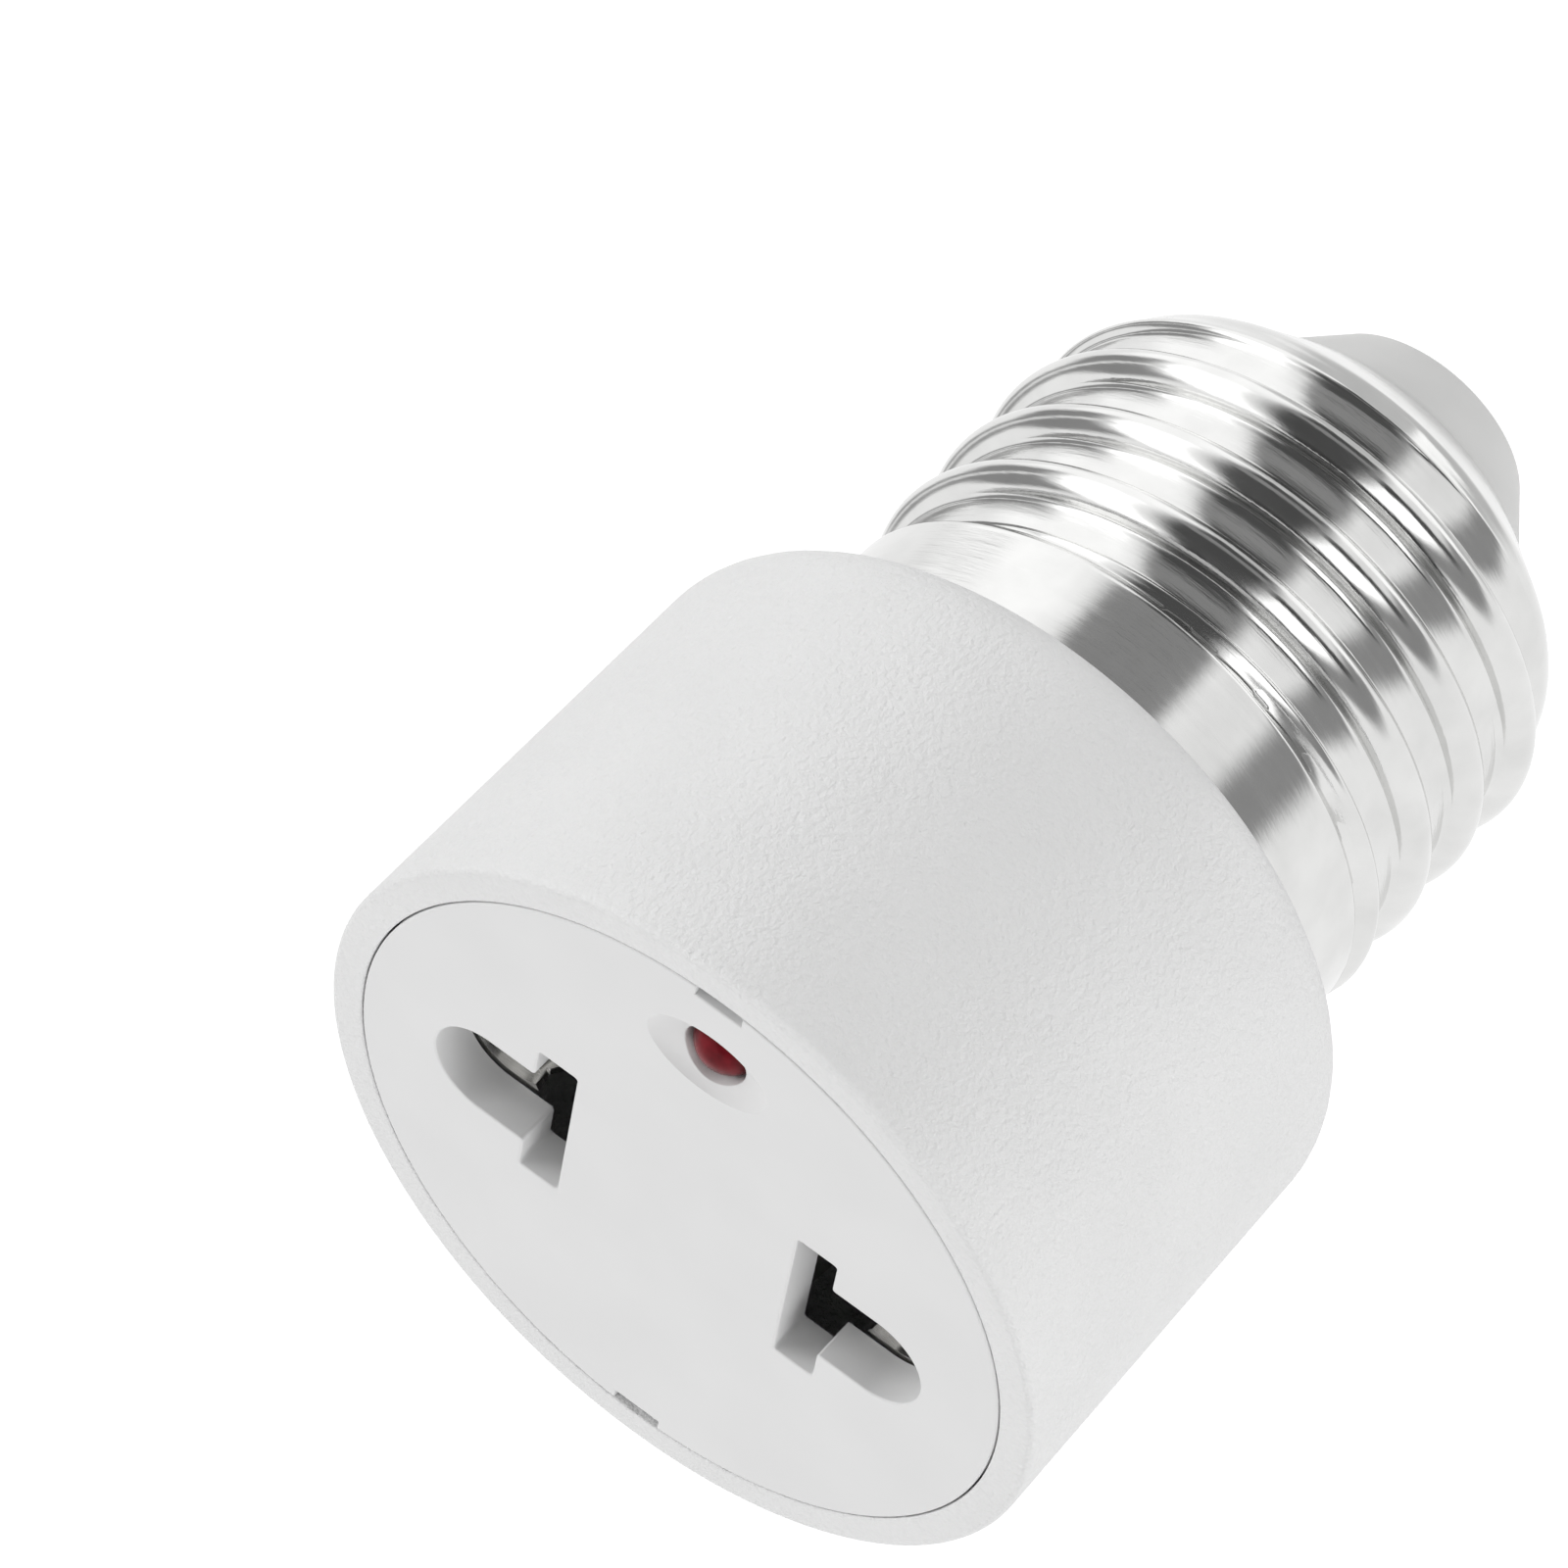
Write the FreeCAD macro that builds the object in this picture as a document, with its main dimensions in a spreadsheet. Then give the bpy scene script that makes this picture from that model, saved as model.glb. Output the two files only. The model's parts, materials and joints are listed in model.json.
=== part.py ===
"""A light socket outlet adapter: an Edison screw cap at one end and a two-pin socket at the other.

The piece stands on the middle of its tip contact, which is the origin. +Z runs up the axis towards
the socket face, +X runs along the line of the pins, and +Y points at the indicator lamp.
"""
import FreeCAD, Part
import math
import os

import Sketcher

# Driving dimensions, in millimetres, degrees or plain counts
SIZES = {
    # lengths along the axis
    "cap_length": 28.4,
    # housing
    "rim_radius": 17.2,
    "side_radius": 16.75,
    "shoulder_land": 1.15,
    "rim_round": 0.35,
    "rim_width": 1.58,
    "ledge_width": 0.62,
    "side_wall": 1.95,
    "floor_thickness": 2.0,
    "neck_length": 4.7,
    "neck_wall": 1.6,
    "rib_thickness": 2.4,
    "rib_drop": 5.4,
    "rib_tip_height": 1.8,
    "rib_root": 0.3,
    "rib_setback": 0.4,
    # face plate
    "plate_thickness": 2.0,
    "plate_gap": 0.08,
    "pin_inset": 7.475,
    "blade_inset": 3.15,
    "pin_slot_width": 4.9,
    "blade_slot_width": 1.9,
    "blade_slot_length": 8.3,
    "notch_width": 2.2,
    "notch_depth": 0.55,
    "hook_width": 3.0,
    "hook_thickness": 1.2,
    "hook_length": 3.6,
    "hook_barb": 0.6,
    "barb_height": 1.6,
    "hook_gap": 0.12,
    "catch_side_gap": 0.3,
    # indicator
    "lamp_inset": 4.42,
    "dish_half_width": 2.83,
    "dish_half_height": 1.85,
    "dish_depth": 0.7,
    "lamp_hole_radius": 1.45,
    "lamp_radius": 1.5,
    "lamp_recess": 0.12,
    "lamp_length": 4.5,
    "lamp_flange_radius": 1.9,
    "lamp_flange_thickness": 0.9,
    "lamp_tube_wall": 1.0,
    "lamp_gap": 0.08,
    "lamp_seat_rise": 0.45,
    # screw shell
    "sheet_thickness": 0.3,
    "thread_pitch": 3.629,
    "thread_turns": 4.6,
    "thread_start": 7.8,
    "valley_radius": 12.15,
    "ridge_radius": 0.95,
    "skirt_radius": 12.85,
    "skirt_length": 5.0,
    "skirt_step": 0.55,
    "lip_radius": 13.45,
    "lip_height": 0.85,
    "shell_opening_radius": 7.98,
    "shell_opening_depth": 5.33,
    "shoulder_edge_width": 0.5,
    "shoulder_cone_height": 3.3,
    "shoulder_edge_round": 0.7,
    "shoulder_foot_round": 2.45,
    "shell_gap": 0.05,
    "thread_run_in": 2.2,
    "thread_run_out": 0.6,
    # tip
    "button_radius": 4.6,
    "button_height": 0.9,
    "button_shank_radius": 1.5,
    "button_bore_radius": 0.7,
    "button_sheet": 0.4,
    "clinch_flare": 0.8,
    "tip_end_radius": 5.15,
    "tip_root_radius": 7.75,
    "tip_band_height": 0.6,
    "tip_floor_thickness": 1.7,
    "tip_wall": 1.4,
    "tip_flange_rise": 1.2,
    # socket contacts
    "strip_thickness": 0.4,
    "grip_radius": 2.05,
    "flare_radius": 2.25,
    "flare_height": 0.8,
    "sleeve_arc": 240.0,
    "sleeve_length": 12.1,
    "contact_length": 17.6,
    "contact_rise": 0.7,
    "contact_gap": 0.1,
    "lip_length": 1.4,
    "lip_setback": 0.8,
    "lip_bevel": 2.2,
    "tongue_width": 5.0,
    "tongue_spring": 0.3,
    "tongue_lean": 0.25,
    "tongue_flare": 0.15,
    "tongue_knee_depth": 8.0,
    "tongue_press_depth": 3.6,
    "bend_radius": 0.4,
    "blade_thickness": 1.5,
    "tail_width": 2.2,
    "tail_inset": 3.35,
    "tail_reach": 6.2,
    "tail_hole_offset": 5.0,
    "tail_hole_radius": 0.7,
    # lamp circuit
    "lead_thickness": 0.5,
    "lead_spacing": 2.54,
    "lead_tip": 0.5,
    "parts_spacing": 4.8,
    "resistor_radius": 1.15,
    "resistor_length": 6.3,
    "diode_radius": 1.3,
    "diode_length": 5.0,
    "rod_end_round": 0.4,
    "upper_joint_drop": 2.4,
    "parts_drop": 3.6,
    "shelf_share": 0.44,
    # supply wires
    "wire_radius": 0.8,
    "core_radius": 0.45,
    "wire_end": 0.7,
    "bare_length": 0.9,
    "shell_joint_turns": 1.22,
    "bead_radius": 1.0,
    "bead_height": 0.8,
    "climb_share": 0.4,
    "bead_neck": 0.15,
}

doc = FreeCAD.newDocument("outlet_adapter")
sheet = doc.addObject("Spreadsheet::Sheet", "Sizes")
for row, (alias, number) in enumerate(SIZES.items(), start=1):
    sheet.set("A%d" % row, alias)
    sheet.set("B%d" % row, str(number))
    sheet.setAlias("B%d" % row, alias)
doc.recompute()


class Size:
    """A length with the formula in the named sizes that gives it."""

    def __init__(self, value, text):
        self.value = value
        self.text = text

    def __add__(self, other):
        other = as_size(other)
        return Size(self.value + other.value, "(%s + %s)" % (self.text, other.text))

    def __sub__(self, other):
        other = as_size(other)
        return Size(self.value - other.value, "(%s - %s)" % (self.text, other.text))

    def __mul__(self, other):
        other = as_size(other)
        return Size(self.value * other.value, "(%s * %s)" % (self.text, other.text))

    def __truediv__(self, other):
        other = as_size(other)
        return Size(self.value / other.value, "(%s / %s)" % (self.text, other.text))

    def __neg__(self):
        return self * -1.0


def as_size(length):
    """A plain number as a Size, and a Size as itself."""
    if isinstance(length, Size):
        return length
    return Size(float(length), "(%.9g)" % length)


def named(alias):
    """The size that the sheet holds under this alias."""
    return Size(float(sheet.get(alias)), "Sizes.%s" % alias)


class Named:
    """Every size of the sheet as an attribute."""


s = Named()
for alias in SIZES:
    setattr(s, alias, named(alias))

# Levels along the axis, from the tip contact up to the socket face
SEAT = s.cap_length
NECK_END = SEAT - s.neck_length
FLOOR_TOP = SEAT + s.floor_thickness
CONTACT_SEAT = FLOOR_TOP + s.contact_rise
CONTACT_FACE = CONTACT_SEAT + s.strip_thickness
CONTACT_TOP = CONTACT_SEAT + s.contact_length
PLATE_BACK = CONTACT_TOP + s.contact_gap
FACE = PLATE_BACK + s.plate_thickness
THREAD_END = SEAT - s.skirt_length
LAMP_CENTRE = FACE - s.lamp_recess - s.lamp_radius
LAMP_FOOT = LAMP_CENTRE + s.lamp_radius - s.lamp_length
UPPER_JOINT = LAMP_FOOT - s.upper_joint_drop
RODS_TOP = LAMP_FOOT - s.parts_drop
CLINCH_TOP = s.button_height + s.tip_floor_thickness + s.button_sheet

# Places across the axis
MOUTH_RADIUS = s.rim_radius - s.rim_width
BORE_RADIUS = MOUTH_RADIUS - s.ledge_width
BORE_FOOT_RADIUS = s.side_radius - s.side_wall
NECK_RADIUS = s.skirt_radius - s.sheet_thickness - s.shell_gap
NECK_BORE = NECK_RADIUS - s.neck_wall
SHOULDER_ROUND = s.side_radius - NECK_RADIUS - s.shoulder_land
PLATE_RADIUS = MOUTH_RADIUS - s.plate_gap
# the pins keep their distance from the middle of the leaning wall, 19 apart with the blades 12.7 apart
PIN_X = (s.rim_radius + s.side_radius) / 2 - s.pin_inset
BLADE_X = PIN_X - s.blade_inset
LAMP_Y = MOUTH_RADIUS - s.lamp_inset
BLADE_SLOT_INNER = BLADE_X - s.blade_slot_width / 2
BLADE_SLOT_OUTER = BLADE_X + s.blade_slot_width / 2
# the solder tails lie over the neck's bore, which the wires go down through
TAIL_X = NECK_BORE - s.tail_inset
SHELL_WALL = s.valley_radius - s.sheet_thickness


# Building blocks

def bind(item, path, size):
    """Tie one property of an object to the named sizes."""
    item.setExpression(path, as_size(size).text)


def new_body(label):
    """An empty body with a name of its own."""
    body = doc.addObject("PartDesign::Body", label)
    body.Label = label
    return body


def origin_plane(body, role):
    """One of the three planes through a body's own origin."""
    return [item for item in body.Origin.OriginFeatures if item.Role == role][0]


def new_sketch(body, name, plane, height=None):
    """An empty sketch on a plane of the body, lifted along the plane's normal by height."""
    sketch = body.newObject("Sketcher::SketchObject", name)
    sketch.AttachmentSupport = [(origin_plane(body, plane), "")]
    sketch.MapMode = "FlatFace"
    if height is not None:
        bind(sketch, "AttachmentOffset.Base.z", height)
    return sketch


def arc_between(start, end, radius):
    """The short arc between two corners: a positive radius turns left on the way, a negative one right."""
    chord = end - start
    half = chord.Length / 2
    rise = math.sqrt(max(radius * radius - half * half, 0.0))
    left = FreeCAD.Vector(-chord.y, chord.x, 0).normalize()
    side = 1.0 if radius > 0 else -1.0
    centre = (start + end) / 2 + left * (side * rise)
    angles = [math.atan2(point.y - centre.y, point.x - centre.x) for point in (start, end)]
    circle = Part.Circle(centre, FreeCAD.Vector(0, 0, 1), abs(radius))
    if radius > 0:
        return Part.ArcOfCircle(circle, angles[0], angles[1])
    return Part.ArcOfCircle(circle, angles[1], angles[0])


def draw_outline(sketch, corners):
    """Draw a closed outline. A corner is (across, up), with a radius as third where an arc leaves it."""
    points = [FreeCAD.Vector(as_size(corner[0]).value, as_size(corner[1]).value, 0) for corner in corners]
    starts = []
    ends = []
    first = sketch.GeometryCount
    for index, corner in enumerate(corners):
        here = points[index]
        there = points[(index + 1) % len(corners)]
        if len(corner) == 3:
            sketch.addGeometry(arc_between(here, there, corner[2].value), False)
            forward = corner[2].value > 0
            starts.append(1 if forward else 2)
            ends.append(2 if forward else 1)
        else:
            sketch.addGeometry(Part.LineSegment(here, there), False)
            starts.append(1)
            ends.append(2)
    for index, corner in enumerate(corners):
        edge = first + index
        after = (index + 1) % len(corners)
        joint = Sketcher.Constraint("Coincident", edge, ends[index], first + after, starts[after])
        sketch.addConstraint(joint)
        for kind, length in (("DistanceX", corner[0]), ("DistanceY", corner[1])):
            length = as_size(length)
            number = sketch.addConstraint(
                Sketcher.Constraint(kind, -1, 1, edge, starts[index], length.value))
            bind(sketch, "Constraints[%d]" % number, length)
        if len(corner) == 3:
            radius = corner[2] if corner[2].value > 0 else -corner[2]
            chord = points[after] - points[index]
            if abs(chord.Length - 2 * radius.value) < 1e-6:
                # a half round has its centre level with its two corners
                kind, length = ("DistanceX", as_size(corner[0]))
                if abs(chord.x) > abs(chord.y):
                    kind, length = ("DistanceY", as_size(corner[1]))
                constraint = Sketcher.Constraint(kind, -1, 1, edge, 3, length.value)
            else:
                length = radius
                constraint = Sketcher.Constraint("Radius", edge, radius.value)
            number = sketch.addConstraint(constraint)
            bind(sketch, "Constraints[%d]" % number, length)
    return sketch


def draw_circle(sketch, across, up, radius):
    """Draw one circle about a point."""
    centre = FreeCAD.Vector(as_size(across).value, as_size(up).value, 0)
    edge = sketch.addGeometry(Part.Circle(centre, FreeCAD.Vector(0, 0, 1), radius.value), False)
    for kind, length in (("DistanceX", across), ("DistanceY", up)):
        length = as_size(length)
        number = sketch.addConstraint(Sketcher.Constraint(kind, -1, 1, edge, 3, length.value))
        bind(sketch, "Constraints[%d]" % number, length)
    number = sketch.addConstraint(Sketcher.Constraint("Radius", edge, radius.value))
    bind(sketch, "Constraints[%d]" % number, radius)
    return sketch


def pad(body, sketch, length, down=False, both_ways=False):
    """Raise a sketch into a solid."""
    feature = body.newObject("PartDesign::Pad", sketch.Name + "Pad")
    feature.Profile = sketch
    bind(feature, "Length", length)
    feature.Reversed = down
    feature.Midplane = both_ways
    body.Tip = feature
    return feature


def pocket(body, sketch, length, up=False, both_ways=False):
    """Sink a sketch into the solid."""
    feature = body.newObject("PartDesign::Pocket", sketch.Name + "Pocket")
    feature.Profile = sketch
    bind(feature, "Length", length)
    feature.Reversed = up
    feature.Midplane = both_ways
    body.Tip = feature
    return feature


def turn(body, sketch, angle=None):
    """Turn a sketch about the body's upright axis, right round or evenly to both sides by an angle."""
    feature = body.newObject("PartDesign::Revolution", sketch.Name + "Turned")
    feature.Profile = sketch
    feature.ReferenceAxis = (sketch, ["V_Axis"])
    feature.Angle = 360
    if angle is not None:
        feature.Midplane = True
        bind(feature, "Angle", angle)
    body.Tip = feature
    return feature


def round_edges(body, base, radius, wanted):
    """Round the edges of the base feature that the test picks."""
    doc.recompute()
    names = ["Edge%d" % (index + 1) for index, edge in enumerate(base.Shape.Edges) if wanted(edge)]
    if not names:
        raise RuntimeError("no edge to round on " + body.Label)
    feature = body.newObject("PartDesign::Fillet", body.Label + "Round")
    feature.Base = (base, names)
    bind(feature, "Radius", radius)
    body.Tip = feature
    return feature


def ring_edge(radius, height):
    """A test that picks the full ring of this radius at this height."""
    def wanted(edge):
        if not isinstance(edge.Curve, Part.Circle):
            return False
        same_radius = abs(edge.Curve.Radius - radius.value) < 1e-4
        return same_radius and abs(edge.Curve.Center.z - height.value) < 1e-4
    return wanted


def repeat_opposite(body, feature):
    """Repeat a feature on the far side of the body's upright axis."""
    pattern = body.newObject("PartDesign::PolarPattern", feature.Name + "Repeat")
    pattern.Originals = [feature]
    pattern.Axis = (origin_plane(body, "Z_Axis"), [""])
    pattern.Angle = 360
    pattern.Occurrences = 2
    body.Tip = pattern
    return pattern


def place(item, across=0.0, deep=0.0, up=0.0, degrees=0.0):
    """Set a sub-part in the shared frame."""
    across, deep, up = as_size(across), as_size(deep), as_size(up)
    item.Placement = FreeCAD.Placement(
        FreeCAD.Vector(across.value, deep.value, up.value),
        FreeCAD.Rotation(FreeCAD.Vector(0, 0, 1), degrees))
    bind(item, "Placement.Base.x", across)
    bind(item, "Placement.Base.y", deep)
    bind(item, "Placement.Base.z", up)


# Housing

def make_housing():
    """The moulded cup: a round shoulder, a neck for the screw shell and ribs that back the contacts."""
    body = new_body("housing")
    section = draw_outline(new_sketch(body, "HousingSection", "XZ_Plane"), [
        (NECK_BORE, NECK_END),
        (NECK_RADIUS, NECK_END),
        (NECK_RADIUS, SEAT),
        (s.side_radius, SEAT),
        (s.rim_radius, FACE),
        (MOUTH_RADIUS, FACE),
        (MOUTH_RADIUS, PLATE_BACK),
        (BORE_RADIUS, PLATE_BACK),
        (BORE_FOOT_RADIUS, FLOOR_TOP),
        (NECK_BORE, FLOOR_TOP),
    ])
    cup = turn(body, section)

    # the two ribs under the contacts, each a gusset from the bore down into the neck
    rib_inner = BLADE_SLOT_INNER - s.rib_setback
    rib_foot = FLOOR_TOP - s.rib_drop
    rib = draw_outline(new_sketch(body, "RibOutline", "XZ_Plane"), [
        (rib_inner, CONTACT_SEAT),
        (rib_inner, CONTACT_SEAT - s.rib_tip_height),
        (NECK_BORE - s.rib_setback * 2, rib_foot),
        (NECK_BORE + s.rib_root, rib_foot),
        (NECK_BORE + s.rib_root, FLOOR_TOP - s.rib_root),
        (BORE_FOOT_RADIUS + s.rib_root, FLOOR_TOP - s.rib_root),
        (BORE_FOOT_RADIUS + s.rib_root, CONTACT_SEAT),
    ])
    rib_pad = pad(body, rib, s.rib_thickness, both_ways=True)
    repeat_opposite(body, rib_pad)

    # the two windows in the bore that the plate's hooks catch in
    catch_top = PLATE_BACK - s.hook_length + s.barb_height + s.hook_gap
    catch_foot = catch_top - s.barb_height - s.hook_gap * 2
    catch_side = s.hook_width / 2 + s.catch_side_gap
    catch = draw_outline(new_sketch(body, "CatchOutline", "XZ_Plane"), [
        (-catch_side, catch_foot),
        (catch_side, catch_foot),
        (catch_side, catch_top),
        (-catch_side, catch_top),
    ])
    catch_pocket = pocket(body, catch, (BORE_RADIUS + s.hook_barb) * 2, both_ways=True)
    shoulder = round_edges(body, catch_pocket, SHOULDER_ROUND, ring_edge(s.side_radius, SEAT))
    round_edges(body, shoulder, s.rim_round, ring_edge(s.rim_radius, FACE))
    place(body)
    return body


# Face plate

def make_face_plate():
    """The moulded plate that closes the mouth: combined slots, lamp tube and dish, hooks and notches."""
    body = new_body("face_plate")
    disc = draw_circle(new_sketch(body, "PlateDisc", "XY_Plane", PLATE_BACK), 0, 0, PLATE_RADIUS)
    pad(body, disc, s.plate_thickness)

    # the combined slots: a round-pin slot that opens into an upright blade slot
    half_length = s.blade_slot_length / 2
    half_width = s.pin_slot_width / 2
    slot = draw_outline(new_sketch(body, "SlotOutline", "XY_Plane", FACE), [
        (BLADE_SLOT_INNER, -half_length),
        (BLADE_SLOT_OUTER, -half_length),
        (BLADE_SLOT_OUTER, -half_width),
        (PIN_X, -half_width, half_width),
        (PIN_X, half_width),
        (BLADE_SLOT_OUTER, half_width),
        (BLADE_SLOT_OUTER, half_length),
        (BLADE_SLOT_INNER, half_length),
    ])
    slot_pocket = pocket(body, slot, s.plate_thickness + 0.1)
    repeat_opposite(body, slot_pocket)

    # the lamp's tube, its hole and the oval dish around it
    tube_end = LAMP_FOOT + s.lamp_flange_thickness
    seat_level = LAMP_CENTRE + s.lamp_seat_rise
    tube_bore = s.lamp_radius + s.lamp_gap
    tube = draw_circle(new_sketch(body, "LampTube", "XY_Plane", PLATE_BACK), 0, LAMP_Y,
                       tube_bore + s.lamp_tube_wall)
    pad(body, tube, PLATE_BACK - tube_end, down=True)
    bore = draw_circle(new_sketch(body, "LampBore", "XY_Plane", tube_end), 0, LAMP_Y, tube_bore)
    pocket(body, bore, seat_level - tube_end, up=True)
    hole = draw_circle(new_sketch(body, "LampHole", "XY_Plane", FACE), 0, LAMP_Y, s.lamp_hole_radius)
    pocket(body, hole, FACE - seat_level + 0.05)
    dish = body.newObject("PartDesign::SubtractiveEllipsoid", "LampDish")
    # the dish is the lower cap of an ellipsoid whose middle lies as far above the face as the dish is deep
    cap_ratio = math.sqrt(1.0 - 0.25)
    bind(dish, "Radius1", s.dish_depth * 2)
    bind(dish, "Radius2", s.dish_half_width / cap_ratio)
    bind(dish, "Radius3", s.dish_half_height / cap_ratio)
    dish.Angle1 = -90
    dish.Angle2 = 90
    dish.Angle3 = 360
    dish.AttachmentSupport = [(origin_plane(body, "XY_Plane"), "")]
    dish.MapMode = "FlatFace"
    bind(dish, "AttachmentOffset.Base.y", LAMP_Y)
    bind(dish, "AttachmentOffset.Base.z", FACE + s.dish_depth)
    body.Tip = dish

    # the two hooks and the notches above their barbs
    hook_outer = BORE_RADIUS - s.hook_gap
    hook_inner = hook_outer - s.hook_thickness
    hook_end = PLATE_BACK - s.hook_length
    hook = draw_outline(new_sketch(body, "HookOutline", "YZ_Plane"), [
        (hook_inner, PLATE_BACK),
        (hook_inner, hook_end),
        (hook_outer - s.hook_gap, hook_end),
        (hook_outer + s.hook_barb - s.hook_gap, hook_end + s.barb_height * 0.6),
        (hook_outer + s.hook_barb - s.hook_gap, hook_end + s.barb_height),
        (hook_outer, hook_end + s.barb_height),
        (hook_outer, PLATE_BACK),
    ])
    hook_pad = pad(body, hook, s.hook_width, both_ways=True)
    repeat_opposite(body, hook_pad)
    notch = draw_outline(new_sketch(body, "NotchOutline", "XY_Plane", FACE), [
        (s.notch_width * -0.5, PLATE_RADIUS - s.notch_depth),
        (s.notch_width * 0.5, PLATE_RADIUS - s.notch_depth),
        (s.notch_width * 0.5, PLATE_RADIUS + 1),
        (s.notch_width * -0.5, PLATE_RADIUS + 1),
    ])
    notch_pocket = pocket(body, notch, s.plate_thickness)
    repeat_opposite(body, notch_pocket)
    place(body)
    return body


# Screw shell

def shell_solid(label, inset, below, above):
    """The shell's revolved form, set in by a distance and run past its two open ends."""
    body = new_body(label)
    foot = s.shell_opening_depth + s.shoulder_cone_height
    outline = [
        (0, s.shell_opening_depth - below),
        (s.shell_opening_radius, s.shell_opening_depth - below),
    ]
    if below:
        outline.append((s.shell_opening_radius, s.shell_opening_depth + inset))
    outline += [
        (s.shell_opening_radius + s.shoulder_edge_width - inset * 0.2, s.shell_opening_depth + inset),
        (s.valley_radius - inset, foot + inset * 0.45),
        (s.valley_radius - inset, THREAD_END - s.skirt_step + inset * 0.4),
        (s.skirt_radius - inset, THREAD_END + inset * 0.4),
        (s.skirt_radius - inset, SEAT - s.lip_height + inset * 0.4),
        (s.lip_radius - inset, SEAT),
    ]
    if above:
        outline.append((s.lip_radius - inset, SEAT + above))
    outline.append((0, SEAT + above))
    section = draw_outline(new_sketch(body, label + "Section", "XZ_Plane"), outline)
    turned = turn(body, section)
    edge_ring = ring_edge(s.shell_opening_radius + s.shoulder_edge_width - inset * 0.2,
                          s.shell_opening_depth + inset)
    foot_ring = ring_edge(s.valley_radius - inset, foot + inset * 0.45)
    softened = round_edges(body, turned, s.shoulder_edge_round - inset * 0.5, edge_ring)
    round_edges(body, softened, s.shoulder_foot_round - inset, foot_ring)
    return body


def thread_ridge(label, inset):
    """The rolled ridge as an eight-sided bar on a helix, kept inside an envelope that lets it run out."""
    helix = doc.addObject("Part::Helix", label + "Path")
    bind(helix, "Pitch", s.thread_pitch)
    bind(helix, "Height", s.thread_pitch * s.thread_turns)
    bind(helix, "Radius", s.valley_radius)
    # one stretch of path for each turn
    helix.SegmentLength = 1.0
    bind(helix, "Placement.Base.z", s.thread_start)
    bar = doc.addObject("Part::RegularPolygon", label + "Bar")
    bar.Polygon = 8
    bind(bar, "Circumradius", (s.ridge_radius - inset) / math.cos(math.pi / 8))
    # a flat side of the bar faces out
    upright = FreeCAD.Rotation(FreeCAD.Vector(1, 0, 0), 90)
    bar.Placement = FreeCAD.Placement(
        FreeCAD.Vector(s.valley_radius.value, 0, s.thread_start.value),
        upright.multiply(FreeCAD.Rotation(FreeCAD.Vector(0, 0, 1), 22.5)))
    bind(bar, "Placement.Base.x", s.valley_radius)
    bind(bar, "Placement.Base.z", s.thread_start)
    sweep = doc.addObject("Part::Sweep", label + "Sweep")
    sweep.Sections = [bar]
    sweep.Spine = (helix, [])
    sweep.Solid = True
    sweep.Frenet = True
    envelope = new_body(label + "Envelope")
    inner = s.valley_radius - inset - s.ridge_radius * 2
    crest = s.valley_radius + s.ridge_radius - inset + s.shell_gap
    foot = s.shell_opening_depth + s.shoulder_cone_height
    section = draw_outline(new_sketch(envelope, label + "EnvelopeSection", "XZ_Plane"), [
        (inner, foot - s.thread_run_in / 2),
        (crest, foot + s.thread_run_in),
        (crest, THREAD_END - s.skirt_step - s.thread_run_out),
        (s.skirt_radius - inset - s.skirt_step, THREAD_END),
        (inner, THREAD_END),
    ])
    turn(envelope, section)
    ridge = doc.addObject("Part::MultiCommon", label)
    ridge.Shapes = [sweep, envelope]
    return ridge


def make_screw_shell():
    """The cap's sheet-metal shell: rounded shoulder, rolled right-hand thread, skirt and flared lip."""
    outer = doc.addObject("Part::Fuse", "ShellOuter")
    outer.Base = shell_solid("ShellOuterForm", as_size(0), 0, 0)
    outer.Tool = thread_ridge("OuterRidge", as_size(0))
    hollow = doc.addObject("Part::Cut", "ShellHollow")
    hollow.Base = outer
    hollow.Tool = shell_solid("ShellInnerForm", s.sheet_thickness, 1.0, 1.0)
    shell = doc.addObject("Part::Cut", "screw_shell")
    shell.Label = "screw_shell"
    shell.Base = hollow
    shell.Tool = thread_ridge("InnerRidge", s.sheet_thickness)
    place(shell)
    return shell


# Tip

def make_tip_insulator():
    """The moulded cone that fills the shell's opening, with a flange under the shell's shoulder."""
    body = new_body("tip_insulator")
    top = s.button_height
    under = s.shell_opening_depth + s.sheet_thickness
    floor_top = top + s.tip_floor_thickness
    # the flange follows the inside of the shell's cone for most of its width
    cone_start = s.shell_opening_radius + s.shoulder_edge_width
    flange_radius = cone_start + (SHELL_WALL - cone_start) * 0.65
    flange_foot = under + s.shoulder_cone_height * 0.65
    section = draw_outline(new_sketch(body, "TipSection", "XZ_Plane"), [
        (s.button_shank_radius, top),
        (s.tip_end_radius, top),
        (s.tip_root_radius, s.shell_opening_depth - s.tip_band_height),
        (s.tip_root_radius, under),
        (s.shell_opening_radius + s.shoulder_edge_width * 0.4, under),
        (cone_start, under + s.shell_gap * 3),
        (flange_radius, flange_foot),
        (flange_radius, flange_foot + s.tip_flange_rise),
        (flange_radius - s.tip_wall, flange_foot + s.tip_flange_rise),
        (s.tip_root_radius - s.tip_wall, under + s.tip_wall),
        (s.tip_end_radius - s.tip_wall, floor_top),
        (s.button_shank_radius, floor_top),
    ])
    turn(body, section)
    place(body)
    return body


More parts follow.
